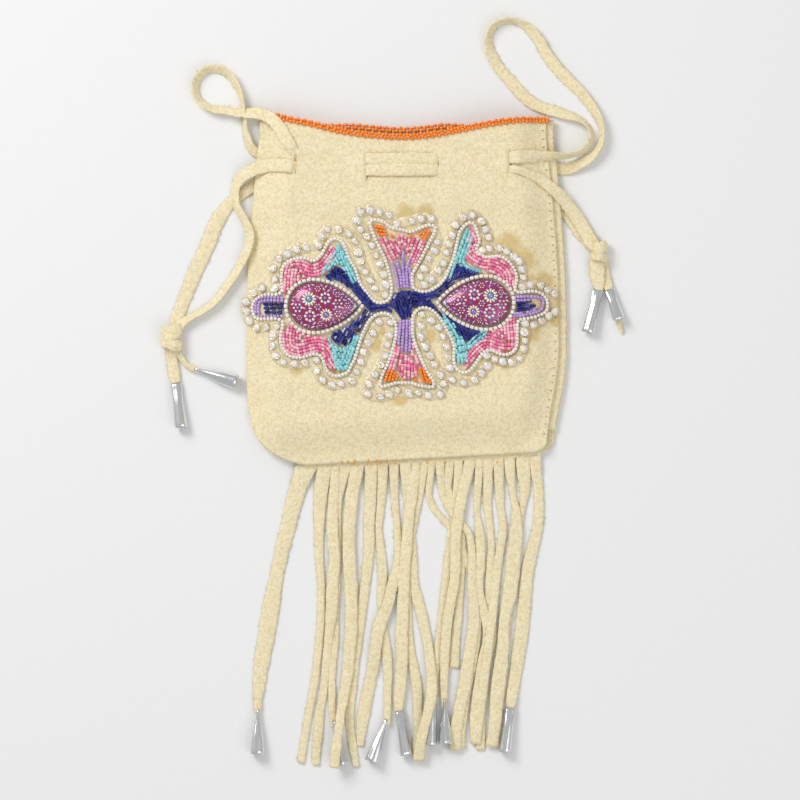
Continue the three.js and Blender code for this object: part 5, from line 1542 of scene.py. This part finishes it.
RIM_ANGLES = []
for k in range(1, 200):
    rim_x, rim_y = teardrop(math.pi * k / 200)
    RIM_ANGLES.append((math.atan2(rim_y, rim_x), math.pi * k / 200))


def cabochon_share(x, y):
    """How far out a point is: 0 in the middle and 1 on the rim."""
    angle = abs(math.atan2(y, x))
    _, t = min(RIM_ANGLES, key=lambda pair: abs(pair[0] - angle))
    return math.hypot(x, y) / math.hypot(*teardrop(t))


def on_cabochon(side, x, y, lift):
    """A point of a cabochon's dome and its normal, from x towards the tip and y."""
    middle, way = CABOCHONS[side]
    base = front_top(*middle) + GAP
    rise = cabochon_rise(min(0.99, cabochon_share(x, y)))
    step = 0.3
    slopes = []
    for dx, dy in ((step, 0), (0, step)):
        slopes.append((cabochon_rise(min(0.99, cabochon_share(x + dx, y + dy))) - rise) / step)
    normal = Vector((-slopes[0] * way, -slopes[1], 1)).normalized()
    return Vector((middle[0] + x * way, middle[1] + y, base + rise)) + normal * lift, normal


def cabochon_mesh(side):
    middle, way = CABOCHONS[side]
    base = front_top(*middle) + GAP
    mesh = bmesh.new()
    bmesh.ops.create_uvsphere(mesh, u_segments=96, v_segments=40, radius=1)
    for v in mesh.verts:
        share = min(1.0, math.hypot(v.co.x, v.co.y))
        x, y = teardrop(math.atan2(v.co.y, v.co.x))
        if v.co.z > -0.01:
            rise = cabochon_rise(share) + 0.12 * noise.noise(v.co * 9) * (1 - share)
        else:
            rise = 0.0 if share < 0.98 else CABOCHON_GIRDLE * 0.5
        v.co = Vector((middle[0] + x * share * way, middle[1] + y * share, base + rise))
    bmesh.ops.recalc_face_normals(mesh, faces=mesh.faces)
    return mesh


def raised_places(side):
    """Where the petals and the middles of the raised flowers are."""
    petals, middles = [], []
    for kind, x, y, size in RAISED:
        count = {"daisy": 12, "ring": 8, "dots": 6}[kind]
        for k in range(count):
            angle = 2 * math.pi * k / count
            reach = size * (0.7 if kind == "daisy" else 0.74)
            px, py = x + math.cos(angle) * reach, y + math.sin(angle) * reach
            if cabochon_share(px, py) > 0.93:
                continue
            point, normal = on_cabochon(side, px, py, 0.02)
            way = CABOCHONS[side][1]
            along = Vector((math.cos(angle) * way, math.sin(angle), 0))
            long, wide = (size * 0.3, size * 0.16) if kind == "daisy" else (size * 0.24, size * 0.24)
            petals.append(lying(point, along, normal) @ Matrix.Diagonal((wide, 0.42, long, 1)))
        point, normal = on_cabochon(side, x, y, 0.05)
        heart = size * (0.36 if kind == "daisy" else 0.26)
        flat = stand(point, (1, 0.01, -normal.x / max(0.2, normal.z)), normal)
        middles.append(flat @ Matrix.Diagonal((heart, 0.5, heart, 1)))
    return petals, middles


def rim_leaf_places(side):
    """Slanting leaf marks that follow the rim."""
    out = []
    way = CABOCHONS[side][1]
    for share, count in LEAF_MARK_ROWS:
        for k in range(count):
            t = -math.pi + 2 * math.pi * (k + 0.5) / count
            x, y = (c * share for c in teardrop(t))
            if any(math.hypot(x - fx, y - fy) < size + 0.45 for _, fx, fy, size in RAISED):
                continue
            point, normal = on_cabochon(side, x, y, 0.04)
            slant = math.atan2(y, x) + (0.5 if k % 2 else -0.4)
            along = Vector((math.cos(slant) * way, math.sin(slant), 0))
            out.append(lying(point, along, normal) @ Matrix.Diagonal((0.36, 0.34, 0.92, 1)))
    return out


def closed_ring(side, grow, steps=240):
    middle, way = CABOCHONS[side]
    line = [teardrop(-math.pi + 2 * math.pi * k / steps, grow) for k in range(steps + 1)]
    return [(middle[0] + x * way, middle[1] + y) for x, y in line]


def blobs(places):
    """One bmesh with a ball at each matrix, stretched as the matrix says."""
    ball = bmesh.new()
    bmesh.ops.create_icosphere(ball, subdivisions=2, radius=1)
    return scatter(ball, places)


def bead_row_mesh(places, width, length, segments=8):
    return scatter(bead_template(width, length, segments), places)


def curve(pixels, steps=4):
    """A smooth line in millimetres through pixels of the photograph."""
    return [p[:2] for p in smoothed(spots(pixels), steps)]


def string_places(line, pitch, lift, rng):
    """Beads threaded along a closed line that lies on the front."""
    out = []
    for (x, y), (dx, dy) in fitted(line, pitch, closed=True):
        shift = rng.uniform(-0.05, 0.05)
        point, normal = lies_on_front(x - dy * shift, y + dx * shift, lift + rng.uniform(-0.04, 0.06))
        axis = Vector((dx, dy, rng.uniform(-0.06, 0.06)))
        out.append(lying(point, axis, normal, rng.uniform(0.95, 1.04)))
    return out


def rod_places(lines, longest, width, lift, rng):
    """Bugles end to end along lines, each shared into equal lengths."""
    out = []
    for line in lines:
        total = span(line)
        count = max(1, math.ceil(total / longest - 0.15))
        for (x, y), (dx, dy) in walk(line, total / count * 0.9999, total / count / 2)[:count]:
            lean = rng.uniform(-0.07, 0.07)
            point, normal = lies_on_front(x, y, lift + rng.uniform(-0.05, 0.15))
            axis = Vector((dx - dy * lean, dy + dx * lean, rng.uniform(-0.05, 0.05)))
            turn = Matrix.Rotation(rng.uniform(0, 1), 4, "Z")
            size = Matrix.Diagonal((width, width, total / count * 0.95, 1))
            out.append(lying(point, axis, normal) @ turn @ size)
    return out


FIELD_ROWS = 9  # on each side of the guide


def field_rows(guide, outline, pitch, longest):
    """Short lines side by side inside an outline, following a guide."""
    out = []
    for k in range(-FIELD_ROWS, FIELD_ROWS + 1):
        run = []
        for point, _ in walk(beside(guide, k * pitch), 0.35):
            if inside(point, outline):
                run.append(point)
            if run and (not inside(point, outline) or span(run) > longest * (0.85 + 0.15 * (k % 2))):
                out.append(run)
                run = []
        out.append(run)
    return [run for run in out if len(run) > 2 and span(run) > 0.8]


def as_line(bar):
    return [spot(bar[:2]), spot(bar[2:])]


# Operators, one for each piece or group of like pieces


class BAG_OT_stage(bpy.types.Operator):
    """Floor, soft lights and the camera at the photograph's angle"""

    bl_idname = "bag.stage"
    bl_label = "Stage"

    def execute(self, context):
        scene = context.scene
        scene.view_settings.view_transform = "Standard"
        mesh = bmesh.new()
        bmesh.ops.create_grid(mesh, x_segments=8, y_segments=8, size=FLOOR_HALF)
        data = bpy.data.meshes.new("studio_floor")
        mesh.to_mesh(data)
        mesh.free()
        data.materials.append(floor_material())
        floor = bpy.data.objects.new("studio_floor", data)
        scene.collection.objects.link(floor)

        world = bpy.data.worlds.new("studio_air")
        world.use_nodes = True
        air = world.node_tree.nodes["Background"].inputs
        air["Color"].default_value = (1, 1, 1, 1)
        air["Strength"].default_value = AIR_STRENGTH
        scene.world = world

        middle = Vector((*spot(CAMERA_PX), 0)) * MM
        for name, place, size, power in LIGHTS:
            lamp = bpy.data.lights.new(name, "AREA")
            lamp.shape = "SQUARE"
            lamp.size = size
            lamp.energy = power
            made = bpy.data.objects.new(name, lamp)
            made.location = middle + Vector(place)
            made.rotation_euler = (middle - made.location).to_track_quat("-Z", "Y").to_euler()
            scene.collection.objects.link(made)

        camera = bpy.data.cameras.new("camera")
        camera.sensor_width = SENSOR_WIDTH
        camera.lens = SENSOR_WIDTH * CAMERA_HEIGHT / VIEW_WIDTH
        camera.clip_start = 0.02
        seen_from = bpy.data.objects.new("camera", camera)
        seen_from.location = middle + Vector((0, 0, CAMERA_HEIGHT))
        scene.collection.objects.link(seen_from)
        scene.camera = seen_from
        return {"FINISHED"}


class BAG_OT_left_drawstring(bpy.types.Operator):
    """The drawstring whose tails hang on the left and whose loop is on the right"""

    bl_idname = "bag.left_drawstring"
    bl_label = "Left drawstring"

    def execute(self, context):
        lines = (left_tail_front(), left_tail_back(), right_loop())
        knot_parts = (LEFT_KNOT, LEFT_STRIPS, LEFT_CONES)
        drawstring("left", "right", knot_parts, lines, (LANE_LOW, LANE_HIGH, 1), 1.0)
        return {"FINISHED"}


class BAG_OT_right_drawstring(bpy.types.Operator):
    """The drawstring whose tails hang on the right and whose loop is on the left"""

    bl_idname = "bag.right_drawstring"
    bl_label = "Right drawstring"

    def execute(self, context):
        lines = (right_tail_front(), right_tail_back(), left_loop())
        knot_parts = (RIGHT_KNOT, RIGHT_STRIPS, RIGHT_CONES)
        drawstring("right", "left", knot_parts, lines, (LANE_HIGH, LANE_LOW, 0), 6.0)
        return {"FINISHED"}


class BAG_OT_skin(bpy.types.Operator):
    """Front and back, one sheet of suede folded at the left edge"""

    bl_idname = "bag.skin"
    bl_label = "Skin"

    def execute(self, context):
        suede = suede_material("panel_suede", stained=True)
        mesh = skin_mesh(spots(STONES_PX))
        made = piece("folded_skin", mesh, suede, ["front_panel", "back_panel"], "suede")
        thickened(made, sizes().leather)
        return {"FINISHED"}


class BAG_OT_welt(bpy.types.Operator):
    """The strip sewn into the right seam, and the stitches beside it"""

    bl_idname = "bag.welt"
    bl_label = "Side welt"

    def execute(self, context):
        line = []
        for k in range(WELT_POINTS + 1):
            y = WELT_FROM_Y + (WELT_TO_Y - WELT_FROM_Y) * k / WELT_POINTS
            waver = 0.35 * noise.noise(Vector((y / 9, 4.2, 0)))
            x = right_edge(y) - WELT_WIDTH / 2 - 0.2 + waver
            line.append((x, y, back_top(y) + GAP + 0.75, WELT_WIDTH, 0))
        mesh = bmesh.new()
        add_ribbon(mesh, line, 1.2, 0.035, 11.0)
        piece("welt_strip", mesh, suede_material("welt_suede"), ["side_welt"], "suede")

        rng = random.Random(31)
        places = []
        for k in range(WELT_STITCHES):
            y = WELT_STITCH_FROM_Y + k * WELT_STITCH_PITCH + rng.uniform(-0.5, 0.5)
            x = right_edge(y) - WELT_SHOW - 1.5
            point = Vector((x, y, front_top(x, y) + 0.1))
            way = (rng.uniform(0.9, 1.3), rng.uniform(-0.6, 0.6), -0.1)
            places.append(stand(point, way, (0, 0, 1)) @ Matrix.Diagonal((0.2, 0.18, 0.45, 1)))
        thread = thread_material("brown_thread", (0.4, 0.2, 0.08))
        piece("welt_stitches", blobs(places), thread, ["side_welt"], "suede")
        return {"FINISHED"}


class BAG_OT_mouth_edging(bpy.types.Operator):
    """Two staggered rows of orange beads on each edge of the mouth"""

    bl_idname = "bag.mouth_edging"
    bl_label = "Mouth edging"

    def edge(self, side, start, end, rng, glass):
        front = side == "front"
        width = sizes().edging_bead / MM
        places = []
        across = [start + (end - start) * k / EDGING_POINTS for k in range(EDGING_POINTS + 1)]
        line = [(x, mouth_lies(x, front)) for x in across]
        for row, (out, rise) in enumerate(EDGING_ROWS):
            for k, ((x, y), (dx, dy)) in enumerate(fitted(beside(line, out), width * 0.93)):
                sway = 0.22 * (1 if (k + row) % 2 else -1)
                leather = front_top(x, y - out - 1) if front else back_top(y - out)
                z = leather + EDGING_LIFT + rise + rng.uniform(-0.12, 0.12)
                lean = rng.uniform(-0.35, 0.35)
                hole = (-dy + lean * dx, dx + lean * dy, rng.uniform(-0.3, 0.3))
                places.append(stand((x, y + sway, z), hole, (0, 0, 1), rng.uniform(0.93, 1.04)))
        beads = bead_row_mesh(places, width, width * 0.82, 10)
        piece("edging_beads_" + side, beads, glass, ["mouth_edging_" + side], "orange_beads")

    def execute(self, context):
        rng = random.Random(7)
        glass = bead_material("orange_glass", tuple(colours().orange), None, 0.08, 0.1)
        self.edge("front", *MOUTH_FRONT_X, rng, glass)
        self.edge("back", *MOUTH_BACK_X, rng, glass)
        return {"FINISHED"}


class BAG_OT_fringe(bpy.types.Operator):
    """The cut fringe sewn into the bottom seam, its stitches and its cones"""

    bl_idname = "bag.fringe"
    bl_label = "Fringe"

    def execute(self, context):
        mesh = bmesh.new()
        area = 0.0
        for i, rows in enumerate(FRINGE_STRANDS_PX):
            line = smoothed(strand_line(rows), 5)
            add_ribbon(mesh, line, FRINGE_THICKNESS, 0.07, 20.0 + i)
            area += sum(length_of(part) * (part[0][3] + part[1][3]) / 2 for part in zip(line, line[1:]))
        header = []
        for x in range(-47, 61, 4):
            seam = bottom_edge(x)
            header.append((x, seam + 1.4, back_top(seam) + HEADER_HEIGHT, HEADER_WIDTH, 0))
        add_ribbon(mesh, header, FRINGE_THICKNESS, 0.02, 50.0)
        area += HEADER_LENGTH * HEADER_WIDTH
        made = piece("cut_fringe", mesh, suede_material("fringe_suede"), ["fringe"], "suede")

        metal = metal_material("fringe_metal")
        for i, (name, shape) in enumerate(FRINGE_CONES.items()):
            cone(name, *shape, seed=i * 1.7, material=metal)
        stitches = self.stitches()
        area * MM * MM
        return {"FINISHED"}

    def stitches(self):
        rng = random.Random(5)
        places = []
        for px, tall in SEAM_STITCHES_PX:
            x, y = spot((px, SEAM_STITCHES_Y_PX))
            lean = rng.uniform(-0.25, 0.25)
            point = Vector((x, y + 0.4, front_top(x, y + 0.4) + 0.12))
            size = Matrix.Diagonal((0.3, 0.3, tall * MM_PER_PX / 2, 1))
            places.append(stand(point, (lean, 1, 0.05), (0, 0, 1)) @ size)
        thread = thread_material("ochre_thread", (0.74, 0.4, 0.05))
        return piece("seam_stitches", blobs(places), thread, ["fringe"], "suede")


class BAG_OT_cabochons(bpy.types.Operator):
    """Two pointed cabochons with raised flowers, each in a ring of beads"""

    bl_idname = "bag.cabochons"
    bl_label = "Cabochons"

    def execute(self, context):
        rng = random.Random(3)
        resin = cabochon_material()
        gilt, violet, opal = (relief_material("raised_" + name, stops) for name, stops in RELIEFS.items())
        pearl = pearl_material()
        for side in CABOCHONS:
            node = "cabochon_" + side
            piece(node + "_dome", cabochon_mesh(side), resin, [node], "cabochon")
            petals, middles = raised_places(side)
            piece(node + "_petals", blobs(petals), gilt, [node], "cabochon")
            piece(node + "_middles", blobs(middles), violet, [node], "cabochon")
            piece(node + "_leaf_marks", blobs(rim_leaf_places(side)), opal, [node], "cabochon")
            places = string_places(closed_ring(side, RING_GROW), *RING_STRING, rng)
            ring = bead_row_mesh(places, *RING_BEAD, 12)
            piece("ring_beads_" + side, ring, pearl, ["pearl_ring_" + side], "pearl_beads")
        return {"FINISHED"}


class BAG_OT_pearls(bpy.types.Operator):
    """The row of pearl beads round the flower"""

    bl_idname = "bag.pearls"
    bl_label = "Pearl outline"

    def execute(self, context):
        rng = random.Random(11)
        places = string_places(curve(OUTLINE_PX), *OUTLINE_STRING, rng)
        made = bead_row_mesh(places, *OUTLINE_BEAD, 12)
        piece("outline_beads", made, bpy.data.materials["pearl_lustre"], ["pearl_outline"], "pearl_beads")
        return {"FINISHED"}


class BAG_OT_stones(bpy.types.Operator):
    """Cut stones in round settings, set in glue outside the pearls"""

    bl_idname = "bag.stones"
    bl_label = "Stones"

    def execute(self, context):
        rng = random.Random(17)
        cups, stones, glue = [], [], []
        for x, y in spots(STONES_PX):
            size = rng.choice(STONE_SIZES)
            point, normal = lies_on_front(x, y, 0.35)
            tilt = normal + Vector((rng.uniform(-0.22, 0.22), rng.uniform(-0.22, 0.22), 0))
            matrix = stand(point, tilt, (rng.uniform(-1, 1), 1, 0), size)
            cups.append(matrix)
            turn = Matrix.Rotation(rng.uniform(0, 1), 4, "Z")
            stones.append(matrix @ Matrix.Translation((0, 0, 0.72)) @ turn)
        path = spots([*STONES_PX, STONES_PX[0]])
        for (x, y), _ in fitted(path, GLUE_PITCH, closed=True):
            point, normal = lies_on_front(x + rng.uniform(-0.3, 0.3), y + rng.uniform(-0.3, 0.3), 0.0)
            flat = Matrix.Diagonal((rng.uniform(2.1, 2.8), rng.uniform(2.1, 2.8), 0.42, 1))
            glue.append(stand(point, normal, (rng.uniform(-1, 1), 1, 0)) @ flat)
        cup = turned(CUP_PROFILE, 14)
        pale = Paint("setting_rim")
        tint = pale.mix(pale.each(), (0.9, 0.84, 0.7), (0.7, 0.6, 0.42))
        pale.finish(base_color=tint, roughness=0.16 + pale.noise(1) * 0.1, metallic=0.75, coat_weight=0.5,
                    normal=pale.bump(pale.noise(0.8), 0.05, 0.5))
        node = ["rhinestone_border"]
        piece("stone_settings", scatter(cup, cups), pale.material, node, "rhinestones")
        cut = turned(STONE_PROFILE, 8)
        piece("cut_stones", scatter(cut, stones), stone_material(), node, "rhinestones", smooth=False)
        resin = Paint("dried_glue")
        across = resin.node("ShaderNodeSeparateXYZ", None, {0: resin.place()}) * 4.5
        shade = resin.mix(resin.noise(2).above(0.5, 0.2), (0.7, 0.57, 0.34), (0.86, 0.77, 0.54))
        aged = (resin.noise(9, 3) + across).above(0.72, 0.16)
        shade = resin.mix(aged * 0.75, shade, (0.58, 0.4, 0.15))
        resin.finish(base_color=shade, roughness=0.24 + resin.noise(1.4) * 0.2, coat_weight=0.4)
        piece("stone_glue", blobs(glue), resin.material, node, "rhinestones")
        return {"FINISHED"}


class BAG_OT_bugles(bpy.types.Operator):
    """Navy and turquoise bugles of the stems and leaves"""

    bl_idname = "bag.bugles"
    bl_label = "Bugles"

    def places(self, lines, fields, width, rng):
        """Bugles laid along lines, and lower ones that fill fields."""
        longest = sizes().bugle_length / MM
        places = rod_places(lines, longest, width, BUGLE_LIFT, rng)
        for guide, outline in fields:
            rows = field_rows(spots(guide), spots(outline), width, longest)
            places += rod_places(rows, longest, width, FIELD_BUGLE_LIFT, rng)
        return places

    def execute(self, context):
        rng = random.Random(23)
        width = sizes().bugle_width / MM
        navy = bead_material("navy_glass", tuple(colours().navy), (0.05, 0.07, 0.42), 0.05, 0.5)
        groups = {"navy_left_tip": [], "navy_right_tip": [], "navy_stems": []}
        for bar in [as_line(bar) for bar in NAVY_PX] + [spots(line) for line in NAVY_STEMS_PX]:
            x = bar[0][0]
            group = "navy_left_tip" if x < -50 else "navy_right_tip" if x > 46 else "navy_stems"
            groups[group].append(bar)
        for node, lines in groups.items():
            fields = NAVY_FIELDS_PX if node == "navy_stems" else []
            mesh = scatter(turned(BUGLE_PROFILE, 6), self.places(lines, fields, width, rng))
            piece(node + "_bugles", mesh, navy, [node], "navy_beads", smooth=False)
        satin = tuple(colours().turquoise)
        silky = bead_material("turquoise_satin", satin, (0.42, 0.74, 0.74), 0.2, 0.2, silky=0.5)
        for node, rows in TURQUOISE_PX.items():
            lines = [curve(row) for row in rows]
            places = self.places(lines, [TURQUOISE_FIELDS_PX[node]], width * 0.95, rng)
            mesh = scatter(turned(BUGLE_PROFILE, 8), places)
            piece(node + "_bugles", mesh, silky, [node], "turquoise_beads")
        return {"FINISHED"}


WING_ROWS = 12
WING_PITCH = 1.42


class BAG_OT_seed_fields(bpy.types.Operator):
    """Pink, lavender and orange seed beads of the petals and leaves"""

    bl_idname = "bag.seed_fields"
    bl_label = "Seed bead fields"

    def field(self, node, beads, glass, slot, rng):
        mesh = bead_row_mesh(beads.matrices(rng, beads.width / 2 + 0.15), beads.width, beads.length)
        piece(node + "_beads", mesh, glass, [node], slot)

    def execute(self, context):
        rng = random.Random(29)
        bead = (sizes().seed_length / MM, sizes().seed_width / MM)
        pink_shade, violet_shade = tuple(colours().pink), tuple(colours().lavender)
        pink = bead_material("pink_lined_glass", pink_shade, (1.0, 0.66, 0.68), 0.08, 0.3, lined=0.8)
        satin = bead_material("lavender_satin", violet_shade, (0.5, 0.4, 0.75), 0.2, 0.2, silky=0.2)
        orange = bpy.data.materials["orange_glass"]
        tables = (
            (PINK_LEAVES_PX, pink, "pink_beads"), (LAVENDER_PX, satin, "lavender_beads"),
            (ORANGE_PX, orange, "orange_beads"))
        for table, glass, slot in tables:
            for node, rows in table.items():
                beads = BeadRows(*bead)
                for row in rows:
                    beads.row(curve(row, 3))
                self.field(node, beads, glass, slot, rng)
        for node, (guide, outline) in PINK_WINGS_PX.items():
            beads = BeadRows(*bead)
            beads.patch(curve(guide), WING_ROWS, spots(outline), WING_PITCH)
            self.field(node, beads, pink, "pink_beads", rng)
        return {"FINISHED"}


OPERATORS = (
    BAG_OT_stage, BAG_OT_left_drawstring, BAG_OT_right_drawstring, BAG_OT_skin, BAG_OT_welt,
    BAG_OT_mouth_edging, BAG_OT_fringe, BAG_OT_cabochons, BAG_OT_pearls, BAG_OT_stones, BAG_OT_bugles,
    BAG_OT_seed_fields)


class BAG_PT_pieces(bpy.types.Panel):
    """The bag's pieces, sizes and colours"""

    bl_idname = "BAG_PT_pieces"
    bl_label = "Beaded medicine bag"
    bl_space_type = "VIEW_3D"
    bl_region_type = "UI"
    bl_category = "Bag"

    def draw(self, context):
        for group in (context.scene.bag_sizes, context.scene.bag_colours):
            for name in group.__annotations__:
                self.layout.prop(group, name)
        for kind in OPERATORS:
            self.layout.operator(kind.bl_idname)


CLASSES = (BagSizes, BagColours, *OPERATORS, BAG_PT_pieces)


def register():
    for kind in CLASSES:
        bpy.utils.register_class(kind)
    bpy.types.Scene.bag_sizes = PointerProperty(type=BagSizes)
    bpy.types.Scene.bag_colours = PointerProperty(type=BagColours)


def unregister():
    del bpy.types.Scene.bag_colours
    del bpy.types.Scene.bag_sizes
    for kind in reversed(CLASSES):
        bpy.utils.unregister_class(kind)


def main():
    register()
    for kind in OPERATORS:
        group, name = kind.bl_idname.split(".")
        getattr(getattr(bpy.ops, group), name)()


if __name__ == "__main__":
    main()
